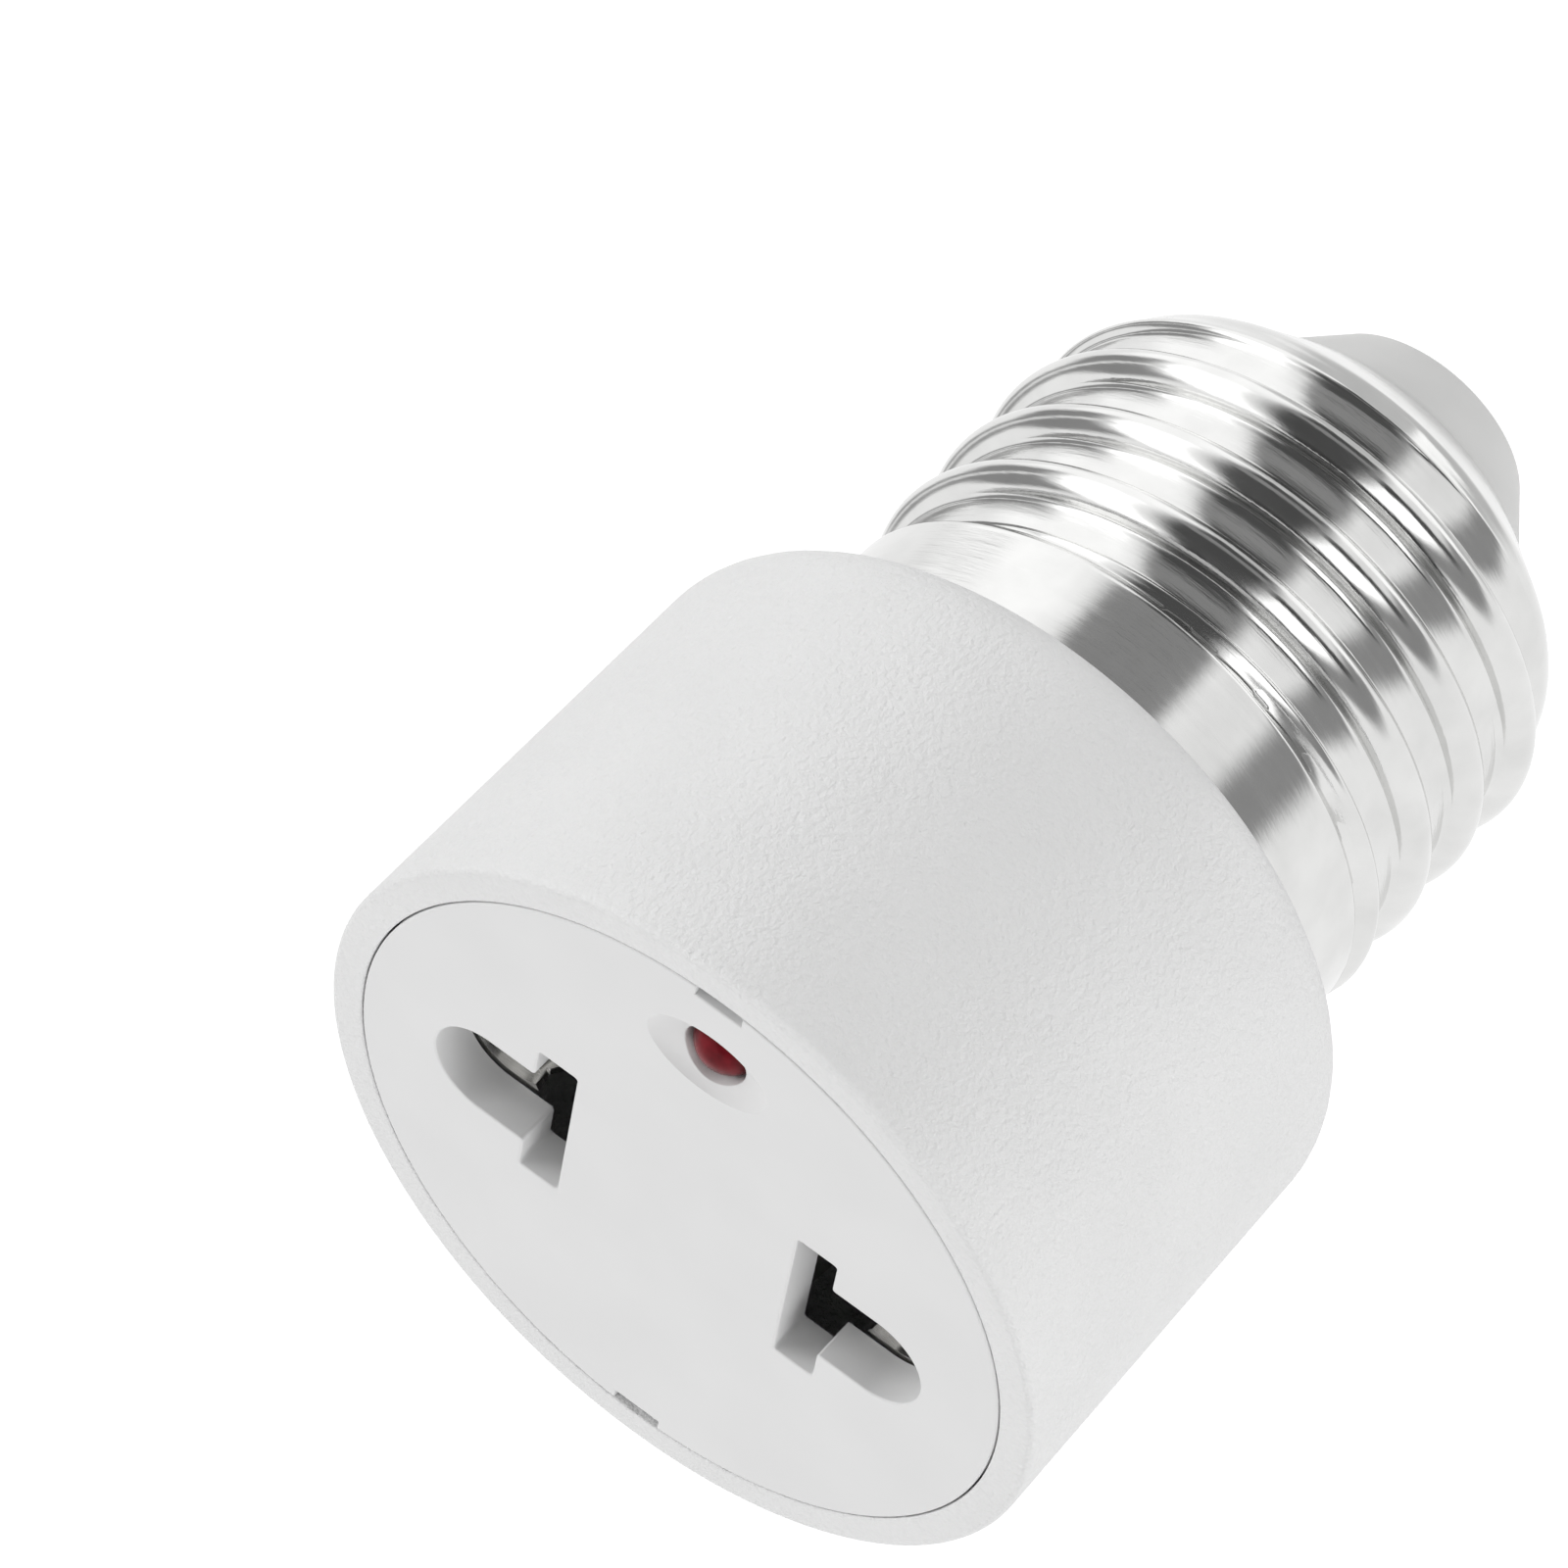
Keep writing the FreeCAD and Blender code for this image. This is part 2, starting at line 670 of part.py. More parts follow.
def make_tip_contact():
    """The centre contact: a low dome with a hollow shank that is clinched inside the insulator."""
    body = new_body("tip_contact")
    rise = s.button_height
    dome_radius = (s.button_radius * s.button_radius + rise * rise) / (rise * 2)
    clinch_foot = CLINCH_TOP - s.button_sheet
    section = draw_outline(new_sketch(body, "ButtonSection", "XZ_Plane"), [
        (0, 0, dome_radius),
        (s.button_radius, rise),
        (s.button_shank_radius, rise),
        (s.button_shank_radius, clinch_foot),
        (s.button_shank_radius + s.clinch_flare, clinch_foot),
        (s.button_shank_radius + s.clinch_flare * 0.75, CLINCH_TOP),
        (s.button_bore_radius, CLINCH_TOP),
        (s.button_bore_radius, rise + s.button_sheet),
        (0, rise + s.button_sheet),
    ])
    turn(body, section)
    place(body)
    return body


# Socket contacts

def make_contact(label, side):
    """One folded strip: a rolled sleeve for the round pin, a tongue for the flat blade and solder tails."""
    body = new_body(label)
    strip = s.strip_thickness
    grip = s.grip_radius
    sleeve_top = s.contact_length
    sleeve_foot = sleeve_top - s.sleeve_length
    flare_foot = sleeve_top - s.flare_height
    sleeve = draw_outline(new_sketch(body, label + "Sleeve", "XZ_Plane"), [
        (grip, sleeve_foot),
        (grip + strip, sleeve_foot),
        (grip + strip, flare_foot),
        (s.flare_radius + strip, sleeve_top),
        (s.flare_radius, sleeve_top),
        (grip, flare_foot),
    ])
    turn(body, sleeve, s.sleeve_arc)

    # the straight lips that carry on from the sleeve's two edges to the flat blade
    half_arc = math.radians(SIZES["sleeve_arc"] / 2)
    out_x, out_y = math.cos(half_arc), math.sin(half_arc)
    lip_foot = sleeve_foot + s.lip_setback
    for name, hand in (("LeftLip", 1.0), ("RightLip", -1.0)):
        inner_x, inner_y = grip * out_x, grip * (out_y * hand)
        outer_x, outer_y = (grip + strip) * out_x, (grip + strip) * (out_y * hand)
        reach_x, reach_y = s.lip_length * -out_y, s.lip_length * (out_x * hand)
        lip = draw_outline(new_sketch(body, label + name, "XY_Plane", lip_foot), [
            (inner_x, inner_y),
            (outer_x, outer_y),
            (outer_x + reach_x, outer_y + reach_y),
            (inner_x + reach_x, inner_y + reach_y),
        ])
        pad(body, lip, flare_foot - lip_foot)
    bevel_far = -grip - s.lip_length
    bevel = draw_outline(new_sketch(body, label + "LipBevel", "XZ_Plane"), [
        (grip * out_x - s.contact_gap, flare_foot + s.contact_gap),
        (bevel_far, flare_foot - s.lip_bevel),
        (bevel_far, flare_foot + s.contact_gap),
    ])
    pocket(body, bevel, grip * 4, both_ways=True)

    # the riser that carries the sleeve, bent up from the base
    bend = s.bend_radius
    riser_in = grip
    riser_out = grip + strip
    foot_width = (bend + strip) * 0.5
    riser = draw_outline(new_sketch(body, label + "Riser", "XZ_Plane"), [
        (riser_in - bend, 0),
        (riser_in, 0, bend + strip),
        (riser_out + bend, bend + strip),
        (riser_out + bend, bend + strip + foot_width),
        (riser_out, bend + strip + foot_width * 2),
        (riser_out, sleeve_foot + s.lip_setback),
        (riser_in, sleeve_foot + s.lip_setback),
        (riser_in, bend + strip + foot_width * 2),
        (riser_in + bend, bend + strip + foot_width),
        (riser_in + bend, bend + strip, -bend),
        (riser_in, strip),
        (riser_in - bend, strip),
    ])
    pad(body, riser, grip, both_ways=True)

    # the base and the tongue that presses on the blade's inner face
    tongue_x = BLADE_X - s.blade_thickness / 2 - s.tongue_spring - PIN_X
    knee = sleeve_top - s.tongue_knee_depth
    press = sleeve_top - s.tongue_press_depth
    press_x = tongue_x + s.tongue_lean
    top_x = tongue_x - s.tongue_flare
    base_end = riser_in - bend / 2
    tongue = draw_outline(new_sketch(body, label + "Tongue", "XZ_Plane"), [
        (base_end, 0),
        (base_end, strip),
        (tongue_x + bend, strip, -bend),
        (tongue_x, strip + bend),
        (tongue_x, knee),
        (press_x, press),
        (top_x, sleeve_top - s.contact_gap),
        (top_x - strip, sleeve_top - s.contact_gap),
        (press_x - strip, press),
        (tongue_x - strip, knee),
        (tongue_x - strip, strip + bend, bend + strip),
        (tongue_x + bend, 0),
    ])
    pad(body, tongue, s.tongue_width, both_ways=True)

    # the solder tails to both sides of the base
    tail_in = TAIL_X - PIN_X - s.tail_width / 2
    tail_out = tail_in + s.tail_width
    tail = draw_outline(new_sketch(body, label + "Tail", "XY_Plane"), [
        (tail_in, -s.tail_reach),
        (tail_out, -s.tail_reach),
        (tail_out, s.tail_reach),
        (tail_in, s.tail_reach),
    ])
    pad(body, tail, strip)
    for name, hand in (("LampHole", 1.0), ("WireHole", -1.0)):
        hole = draw_circle(new_sketch(body, label + name, "XY_Plane", strip), TAIL_X - PIN_X,
                           s.tail_hole_offset * hand, s.tail_hole_radius)
        pocket(body, hole, strip)
    place(body, PIN_X * side, 0, CONTACT_SEAT, 0 if side > 0 else 180)
    return body


# Indicator lamp

def make_lamp():
    """The lamp's coloured body: a domed bullet with a flange at its foot."""
    body = new_body("indicator_lamp")
    section = draw_outline(new_sketch(body, "LampSection", "XZ_Plane"), [
        (0, 0),
        (s.lamp_flange_radius, 0),
        (s.lamp_flange_radius, s.lamp_flange_thickness),
        (s.lamp_radius, s.lamp_flange_thickness),
        (s.lamp_radius, s.lamp_length - s.lamp_radius, s.lamp_radius),
        (0, s.lamp_length),
    ])
    turn(body, section)
    place(body, 0, LAMP_Y, LAMP_FOOT)
    return body


def make_rod(label, across, deep, foot, length, radius):
    """An upright round piece with softened ends, such as a resistor's or diode's body."""
    body = new_body(label)
    disc = draw_circle(new_sketch(body, label + "Disc", "XY_Plane"), 0, 0, radius)
    rod = pad(body, disc, length)
    round_edges(body, rod, s.rod_end_round, lambda edge: isinstance(edge.Curve, Part.Circle))
    place(body, across, deep, foot)
    return body


# Wires

def rounded_runs(points):
    """Straight runs joined by tangent arcs, each as large as its two runs allow, as a list of edges."""
    edges = []
    at = points[0]
    for index in range(1, len(points) - 1):
        before, corner, after = points[index - 1], points[index], points[index + 1]
        run_in = corner - before
        run_out = after - corner
        cut = 0.45 * min(run_in.Length, run_out.Length)
        unit_in = FreeCAD.Vector(run_in).normalize()
        unit_out = FreeCAD.Vector(run_out).normalize()
        start = corner - unit_in * cut
        end = corner + unit_out * cut
        half_turn = unit_in.getAngle(unit_out) / 2
        radius = cut / math.tan(half_turn)
        towards = (unit_out - unit_in).normalize()
        middle = corner + towards * (radius / math.cos(half_turn) - radius)
        edges.append(Part.LineSegment(at, start).toShape())
        edges.append(Part.Arc(start, middle, end).toShape())
        at = end
    edges.append(Part.LineSegment(at, points[-1]).toShape())
    return edges


def shortened(edge, from_start, from_end):
    """A straight run with a length taken off either end."""
    start = edge.Vertexes[0].Point
    end = edge.Vertexes[-1].Point
    along = (end - start).normalize()
    return Part.LineSegment(start + along * from_start, end - along * from_end).toShape()


def make_strand(label, edges, radius):
    """A round strand swept along a path."""
    path = doc.addObject("Part::Feature", label + "Path")
    path.Shape = Part.Wire(edges)
    start = edges[0].Vertexes[0].Point
    heading = (edges[0].Vertexes[-1].Point - start).normalize()
    circle = doc.addObject("Part::Circle", label + "Section")
    bind(circle, "Radius", radius)
    circle.Placement = FreeCAD.Placement(start, FreeCAD.Rotation(FreeCAD.Vector(0, 0, 1), heading))
    sweep = doc.addObject("Part::Sweep", label)
    sweep.Label = label
    sweep.Sections = [circle]
    sweep.Spine = (path, [])
    sweep.Solid = True
    sweep.Frenet = False
    return sweep


def make_cover(label, edges, core):
    """The insulation around a core, along the same path."""
    full = make_strand(label + "Full", edges, s.wire_radius)
    cover = doc.addObject("Part::Cut", label)
    cover.Label = label
    cover.Base = full
    cover.Tool = core
    return cover


def point(across, deep, up):
    """A place in the shared frame."""
    return FreeCAD.Vector(as_size(across).value, as_size(deep).value, as_size(up).value)


def make_solder(label, inner_radius, across, deep, face, hole_radius, hole_depth, climb):
    """Solder that fills a hole round a lead and climbs the lead above the face."""
    body = new_body(label)
    section = draw_outline(new_sketch(body, label + "Section", "XZ_Plane"), [
        (inner_radius, -hole_depth),
        (hole_radius, -hole_depth),
        (hole_radius, 0),
        (s.bead_radius, 0),
        (s.bead_radius * 0.85, climb * 0.3),
        (inner_radius + s.bead_neck, climb),
        (inner_radius, climb),
    ])
    turn(body, section)
    place(body, across, deep, face)
    return body


def make_joint_bead(label, across, deep, middle):
    """A barrel of solder over two leads that meet end to end."""
    body = new_body(label)
    lead_radius = s.lead_thickness / 2
    reach = s.bead_radius / 2
    barrel = lead_radius + s.bead_neck * 2.5
    section = draw_outline(new_sketch(body, label + "Section", "XZ_Plane"), [
        (lead_radius, -reach),
        (lead_radius + s.bead_neck, -reach),
        (barrel, reach * -0.4),
        (barrel, reach * 0.4),
        (lead_radius + s.bead_neck, reach),
        (lead_radius, reach),
    ])
    turn(body, section)
    place(body, across, deep, middle)
    return body


def make_lamp_circuit(side_name, hand, rod_name, rod_radius, rod_length):
    """One side of the lamp's circuit: the lamp's lead, a resistor or diode and its lead to the contact."""
    lead_radius = s.lead_thickness / 2
    lamp_x = s.lead_spacing * (hand / 2)
    rod_x = s.parts_spacing * (hand / 2)
    tail_x = TAIL_X * hand
    rod_foot = RODS_TOP - rod_length
    # the lead turns aside part of the way up from the contact to the resistor or diode
    shelf = CONTACT_FACE + (rod_foot - CONTACT_FACE) * s.shelf_share
    offset = LAMP_Y
    # the lamp's lead goes down, steps out to the resistor or diode and ends on it
    lamp_lead = make_strand("lamp_lead_" + side_name, rounded_runs([
        point(lamp_x, offset, LAMP_FOOT),
        point(lamp_x, offset, LAMP_FOOT - s.upper_joint_drop * 0.33),
        point(rod_x, offset, UPPER_JOINT + s.upper_joint_drop * 0.45),
        point(rod_x, offset, UPPER_JOINT),
    ]), lead_radius)
    upper_lead = make_strand(rod_name + "_upper_lead", [
        Part.LineSegment(point(rod_x, offset, UPPER_JOINT), point(rod_x, offset, RODS_TOP)).toShape(),
    ], lead_radius)
    lower_lead = make_strand(rod_name + "_lower_lead", rounded_runs([
        point(rod_x, offset, rod_foot),
        point(rod_x, offset, shelf),
        point(tail_x, s.tail_hole_offset, shelf),
        point(tail_x, s.tail_hole_offset, CONTACT_SEAT - s.lead_tip),
    ]), lead_radius)
    return [
        lamp_lead,
        upper_lead,
        make_rod(rod_name, rod_x, offset, rod_foot, rod_length, rod_radius),
        lower_lead,
        make_joint_bead("solder_joint_" + side_name, rod_x, offset, UPPER_JOINT),
        make_solder("solder_lamp_" + side_name, lead_radius, tail_x, s.tail_hole_offset, CONTACT_FACE,
                    s.tail_hole_radius, s.strip_thickness, (shelf - CONTACT_FACE) * s.climb_share),
    ]


def dropped_route(start, end, corners):
    """A route from start down to end, whose corners give the share of the drop and of the sideways way."""
    way = end - start
    return [FreeCAD.Vector(start.x + way.x * across, start.y + way.y * across, start.z + way.z * down)
            for down, across in corners]


def make_centre_wire():
    """The insulated wire from the left contact to the centre contact, and its solder at both ends."""
    start = point(-TAIL_X, -s.tail_hole_offset, CONTACT_FACE + s.wire_end)
    end = point(0, 0, s.button_height + s.button_sheet * 2)
    runs = rounded_runs(dropped_route(start, end, (
        (0.0, 0.0), (0.17, 0.0), (0.32, 0.18), (0.46, 0.53), (0.61, 0.84), (0.76, 1.0), (1.0, 1.0))))
    core = make_strand("centre_wire_core", runs, s.core_radius)
    bare_start = (s.wire_end + s.strip_thickness + s.bare_length).value
    bare_end = CLINCH_TOP.value - end.z + s.bare_length.value
    covered = [shortened(runs[0], bare_start, 0)] + runs[1:-1] + [shortened(runs[-1], 0, bare_end)]
    return [
        core,
        make_cover("centre_wire_cover", covered, core),
        make_solder("solder_supply_left", s.core_radius, -TAIL_X, -s.tail_hole_offset, CONTACT_FACE,
                    s.tail_hole_radius, s.strip_thickness, s.bead_height),
        make_solder("solder_tip", s.core_radius, 0, 0, CLINCH_TOP, s.button_bore_radius, s.button_sheet,
                    s.bead_height),
    ]


def make_shell_wire():
    """The insulated wire from the right contact to the inside of the shell, and its solder at both ends."""
    heading = math.radians(-57)
    reach = SHELL_WALL - s.core_radius - s.shell_gap
    end_x, end_y = reach * math.cos(heading), reach * math.sin(heading)
    end_level = s.thread_start + s.thread_pitch * s.shell_joint_turns
    start = point(TAIL_X, -s.tail_hole_offset, CONTACT_FACE + s.wire_end)
    runs = rounded_runs(dropped_route(start, point(end_x, end_y, end_level), (
        (0.0, 0.0), (0.24, 0.0), (0.43, 0.08), (0.59, 0.42), (0.71, 0.82), (0.81, 1.0), (1.0, 1.0))))
    core = make_strand("shell_wire_core", runs, s.core_radius)
    bare_start = (s.wire_end + s.strip_thickness + s.bare_length).value
    # the cover ends before the bare wire lies down along the shell's wall
    covered = [shortened(runs[0], bare_start, 0)] + runs[1:-4]
    return [
        core,
        make_cover("shell_wire_cover", covered, core),
        make_solder("solder_supply_right", s.core_radius, TAIL_X, -s.tail_hole_offset, CONTACT_FACE,
                    s.tail_hole_radius, s.strip_thickness, s.bead_height),
        make_shell_solder(end_x, end_y, end_level + s.bare_length, core),
    ]


def make_shell_solder(across, deep, level, core):
    """The blob of solder that holds the bare wire end to the inside of the shell."""
    ball = doc.addObject("Part::Sphere", "ShellSolderBall")
    bind(ball, "Radius", s.bead_radius + s.bead_neck)
    place(ball, across, deep, level)
    inside = doc.addObject("Part::Cylinder", "ShellSolderWall")
    bind(inside, "Radius", SHELL_WALL)
    bind(inside, "Height", s.thread_pitch * 2)
    place(inside, 0, 0, level - s.thread_pitch)
    blob = doc.addObject("Part::Common", "ShellSolderBlob")
    blob.Base = ball
    blob.Tool = inside
    solder = doc.addObject("Part::Cut", "solder_shell")
    solder.Label = "solder_shell"
    solder.Base = blob
    solder.Tool = core
    return solder


def export(items):
    """Check every object and write each sub-part to its own file."""
    doc.recompute()
    for item in doc.Objects:
        if "Invalid" in item.State or "Error" in item.State:
            raise RuntimeError("%s failed: %s" % (item.Label, item.State))
    os.makedirs("parts", exist_ok=True)
    for item in items:
        shape = item.Shape
        if shape.isNull() or not shape.isValid():
            raise RuntimeError(item.Label + " has no valid shape")
        shape.exportStep("parts/%s.step" % item.Label)
        print(item.Label, "solids", len(shape.Solids), "volume %.2f" % shape.Volume)


parts = [
    make_housing(),
    make_face_plate(),
    make_screw_shell(),
    make_tip_insulator(),
    make_tip_contact(),
    make_contact("contact_right", 1.0),
    make_contact("contact_left", -1.0),
    make_lamp(),
]
parts += make_lamp_circuit("left", -1.0, "resistor", s.resistor_radius, s.resistor_length)
parts += make_lamp_circuit("right", 1.0, "diode", s.diode_radius, s.diode_length)
parts += make_centre_wire()
parts += make_shell_wire()
export(parts)
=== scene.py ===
"""The looks of a light socket outlet adapter, laid over its solid model.

The adapter stands on its tip with the socket face up: +Z runs up the axis, +X along the line of the
pin slots and +Y towards the indicator lamp. Sizes are in millimetres and become metres in the meshes.
"""
import json
import math

import bmesh
import bpy
import numpy as np
from mathutils import Matrix, Vector
from mathutils.geometry import delaunay_2d_cdt


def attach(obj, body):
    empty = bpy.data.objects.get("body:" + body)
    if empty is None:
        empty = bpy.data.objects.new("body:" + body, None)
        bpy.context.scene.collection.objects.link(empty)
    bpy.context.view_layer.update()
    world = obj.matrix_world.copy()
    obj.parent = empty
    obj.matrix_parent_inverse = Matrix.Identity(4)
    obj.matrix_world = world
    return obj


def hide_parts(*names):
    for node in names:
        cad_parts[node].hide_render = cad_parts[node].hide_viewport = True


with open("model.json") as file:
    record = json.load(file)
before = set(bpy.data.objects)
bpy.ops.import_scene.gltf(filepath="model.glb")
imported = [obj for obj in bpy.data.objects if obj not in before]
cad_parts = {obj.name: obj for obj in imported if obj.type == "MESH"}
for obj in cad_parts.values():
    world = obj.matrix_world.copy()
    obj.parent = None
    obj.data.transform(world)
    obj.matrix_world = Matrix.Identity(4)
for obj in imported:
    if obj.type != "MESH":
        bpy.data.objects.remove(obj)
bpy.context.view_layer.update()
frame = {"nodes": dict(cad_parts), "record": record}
MM = 0.001

# Housing sizes in millimetres, the same as the solid model's
CAP_LENGTH = 28.4
FACE = CAP_LENGTH + 22.4
RIM_RADIUS = 17.2
RIM_ROUND = 0.35
SIDE_RADIUS = 16.75
SHOULDER_ROUND = 3.1
MOUTH_RADIUS = 15.62
BORE_RADIUS = 15.0
BORE_FOOT_RADIUS = 14.8
FLOOR_TOP = CAP_LENGTH + 2.0
NECK_END = CAP_LENGTH - 4.7
NECK_RADIUS = 12.5
NECK_BORE = 10.9
CONTACT_SEAT = FLOOR_TOP + 0.7
RIB_THICKNESS = 2.4
RIB_DROP = 5.4
RIB_TIP_HEIGHT = 1.8
RIB_TIP_WIDTH = 0.8
RIB_SETBACK = 0.4
# how far a rib runs into the neck's wall and the floor, and into the bore's wall
RIB_ROOT = 0.3
RIB_BITE = 0.1

# Face plate sizes
PLATE_BACK = FACE - 2.0
PLATE_RADIUS = MOUTH_RADIUS - 0.08
PIN_X = 9.5
PIN_HALF = 2.45
BLADE_INNER = 5.4
BLADE_OUTER = 7.3
BLADE_HALF = 4.15
SLOT_CORNER = 0.16
NOTCH_HALF = 1.1
NOTCH_DEPTH = 0.55
# the rounding of every edge at the face, and the flat strip that runs along it
EDGE_ROUND = 0.09
EDGE_STRIP = 0.05
HOOK_HALF_WIDTH = 1.5
HOOK_THICKNESS = 1.2
HOOK_LENGTH = 3.6
HOOK_ROOT = 0.2
HOOK_GAP = 0.12
BARB_REACH = 0.1
BARB_SLOPE_START = 0.12
BARB_SLOPE_HEIGHT = 0.9
BARB_HEIGHT = 1.6

# Indicator sizes
LAMP_Y = 11.2
DISH_HALF_WIDTH = 2.83
DISH_HALF_HEIGHT = 1.85
DISH_DEPTH = 0.7
DISH_STRIP = 0.04
LAMP_HOLE = 1.45
LAMP_HOLE_ROUND = 0.06
LAMP_RADIUS = 1.5
LAMP_RECESS = 0.12
LAMP_CENTRE = FACE - LAMP_RECESS - LAMP_RADIUS
LAMP_LENGTH = 4.5
LAMP_FOOT = FACE - LAMP_RECESS - LAMP_LENGTH
LAMP_FLANGE = 0.9
LAMP_FLANGE_RADIUS = 1.9
LAMP_GAP = 0.08
LAMP_SEAT_RISE = 0.45
LAMP_TUBE_WALL = 1.0

# Screw shell sizes
SHEET = 0.3
PITCH = 3.629
THREAD_START = 7.8
VALLEY_RADIUS = 12.15
VALLEY_HOLLOW = 0.03
RIDGE_RADIUS = 0.95
RIDGE_FOOT_ROUND = 0.3
SKIRT_RADIUS = 12.85
SKIRT_START = CAP_LENGTH - 5.0
SKIRT_STEP = 0.62
SKIRT_FOOT_ROUND = 0.25
SKIRT_ROUND = 0.3
LIP_RADIUS = 13.45
LIP_START = CAP_LENGTH - 0.85
LIP_ROUND = 0.35
OPENING_RADIUS = 7.98
OPENING_HEIGHT = 5.33
OPENING_EDGE = 0.5
OPENING_ROUND = 0.7
SHOULDER_CONE = 3.3
SHOULDER_END = OPENING_HEIGHT + SHOULDER_CONE
SHOULDER_FOOT_ROUND = 2.45
# the ridge climbs out of the shoulder and dies away under the skirt, over these heights
RUN_IN_START = SHOULDER_END + 0.2
RUN_IN = 1.9
RUN_OUT_END = SKIRT_START - 0.35
RUN_OUT = 0.9
# the threaded part's rows lie between these heights, and the turns reach a little past both
COIL_START = SHOULDER_END - 0.5
COIL_END = SKIRT_START + 0.3
FIRST_TURN = -2
TURNS = 8

# Tip sizes
TIP_END_RADIUS = 5.15
TIP_END_ROUND = 0.22
TIP_ROOT_RADIUS = 7.75
TIP_ROOT_ROUND = 0.5
TIP_BAND = 0.6
TIP_WALL = 1.4
TIP_FLOOR = 1.7
TIP_FLANGE_RISE = 1.2
TIP_FLANGE_SHARE = 0.65
TIP_BEVEL_WIDTH = 0.2
TIP_BEVEL_HEIGHT = 0.15
BUTTON_RADIUS = 4.6
BUTTON_HEIGHT = 0.9
BUTTON_DOME_SHARE = 0.82
BUTTON_EDGE = 0.25
BUTTON_EDGE_ROUND = 0.1
BUTTON_BULGE = 0.02
BUTTON_LIP = 0.06
BUTTON_LAND = 0.3
BUTTON_SHANK = 1.5
BUTTON_BORE = 0.7
BUTTON_SHEET = 0.4
CLINCH_FLARE = 0.8
CLINCH_BEVEL = 0.2

# Columns round a turned piece
RING_STEPS = 288
TIP_STEPS = 192
BUTTON_STEPS = 128
LAMP_STEPS = 96
DISH_STEPS = 128

# Points closer than this become one, and shorter edges than this are dropped, in metres
MERGE_DISTANCE = 2e-7
STRIP_MERGE_DISTANCE = 1e-6
SHORTEST_EDGE = 1e-8


# Surfaces

def quads(rows, columns):
    """The corner numbers of a grid's quads, for points that are counted row by row."""
    number = np.arange(rows * columns).reshape(rows, columns)
    corners = [number[:-1, :-1], number[:-1, 1:], number[1:, 1:], number[1:, :-1]]
    return np.stack(corners, axis=-1).reshape(-1, 4)


class Skin:
    """Grids and flat regions gathered into one mesh. Neighbours meet point on point and are merged."""

    def __init__(self):
        self.points = []
        self.faces = []
        self.count = 0

    def add(self, points, faces):
        """Add loose points and the faces between them: an array of quads, or a list of faces of any size."""
        self.points.append(np.asarray(points, float))
        if isinstance(faces, np.ndarray):
            self.faces += (faces + self.count).tolist()
        else:
            self.faces += [[i + self.count for i in face] for face in faces]
        self.count += len(points)

    def grid(self, points):
        """A rows by columns array of points, with a quad between each four neighbours."""
        self.add(points.reshape(-1, 3), quads(*points.shape[:2]))

    def band(self, rings):
        """Closed rings of equal count, each an (n x 2 outline, height) pair, joined one to the next."""
        self.grid(np.array([np.column_stack([closed(ring), np.full(len(ring) + 1, height)])
                            for ring, height in rings]))

    def region(self, height, outline, holes=()):
        """The flat region inside an outline and outside its holes, at one height."""
        loops = [outline, *holes]
        ends = np.cumsum([len(loop) for loop in loops])
        rings = [list(range(end - len(loop), end)) for loop, end in zip(loops, ends)]
        flat = [Vector(point) for point in np.concatenate(loops)]
        keep_inside, tolerance = 5, 1e-6
        verts, _, cut, *_ = delaunay_2d_cdt(flat, [], rings, keep_inside, tolerance)
        self.add([(vert.x, vert.y, height) for vert in verts], cut)

    def piece(self, name, material, replaces=(), crease=35.0):
        """The finished piece: points merged, faces turned outwards, edges above the crease angle sharp."""
        mesh = bpy.data.meshes.new(name)
        mesh.from_pydata(np.concatenate(self.points) * MM, [], self.faces)
        shell = bmesh.new()
        shell.from_mesh(mesh)
        bmesh.ops.remove_doubles(shell, verts=shell.verts, dist=MERGE_DISTANCE)
        bmesh.ops.dissolve_degenerate(shell, edges=shell.edges, dist=SHORTEST_EDGE)
        bmesh.ops.recalc_face_normals(shell, faces=shell.faces)
        shell.to_mesh(mesh)
        shell.free()
        return finished(name, mesh, material, replaces, crease)


def finished(name, mesh, material, replaces=(), crease=35.0):
    """A piece of the adapter from its mesh, with its finish. It may stand in for solids of the model."""
    mesh.shade_smooth()
    mesh.set_sharp_from_angle(angle=math.radians(crease))
    mesh.materials.clear()
    mesh.materials.append(material)
    item = bpy.data.objects.new(name, mesh)
    bpy.context.scene.collection.objects.link(item)
    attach(item, "root")
    if replaces:
        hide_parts(*replaces)
    return item


def closed(loop):
    """A loop with its first point again at its end."""
    return np.vstack([loop, loop[:1]])


def rounded(corners, steps=6):
    """An outline through (x, y, radius) corners: straight sides joined by tangent arcs.

    An arc has so many points, or that number for each half millimetre of its length where this is more.
    """
    points = []
    for index, (x, y, radius) in enumerate(corners):
        here = np.array([x, y], float)
        to_last = np.array(corners[index - 1][:2], float) - here
        to_next = np.array(corners[(index + 1) % len(corners)][:2], float) - here
        to_last /= np.linalg.norm(to_last)
        to_next /= np.linalg.norm(to_next)
        half = math.acos(np.clip(to_last @ to_next, -1, 1)) / 2
        middle = here + (to_last + to_next) / np.linalg.norm(to_last + to_next) * radius / math.sin(half)
        reach = radius / math.tan(half)
        first = here + to_last * reach - middle
        sweep = math.pi - 2 * half
        sign = 1.0 if first[1] * to_last[0] - first[0] * to_last[1] > 0 else -1.0
        count = max(steps, int(steps * radius * sweep / 0.5))
        for angle in np.linspace(0, sweep, count):
            c, n = math.cos(angle), sign * math.sin(angle)
            points.append(middle + [first[0] * c - first[1] * n, first[0] * n + first[1] * c])
    points = np.array(points)
    doubled = 1e-5
    keep = np.linalg.norm(points - np.roll(points, 1, axis=0), axis=1) > doubled
    return points[keep]


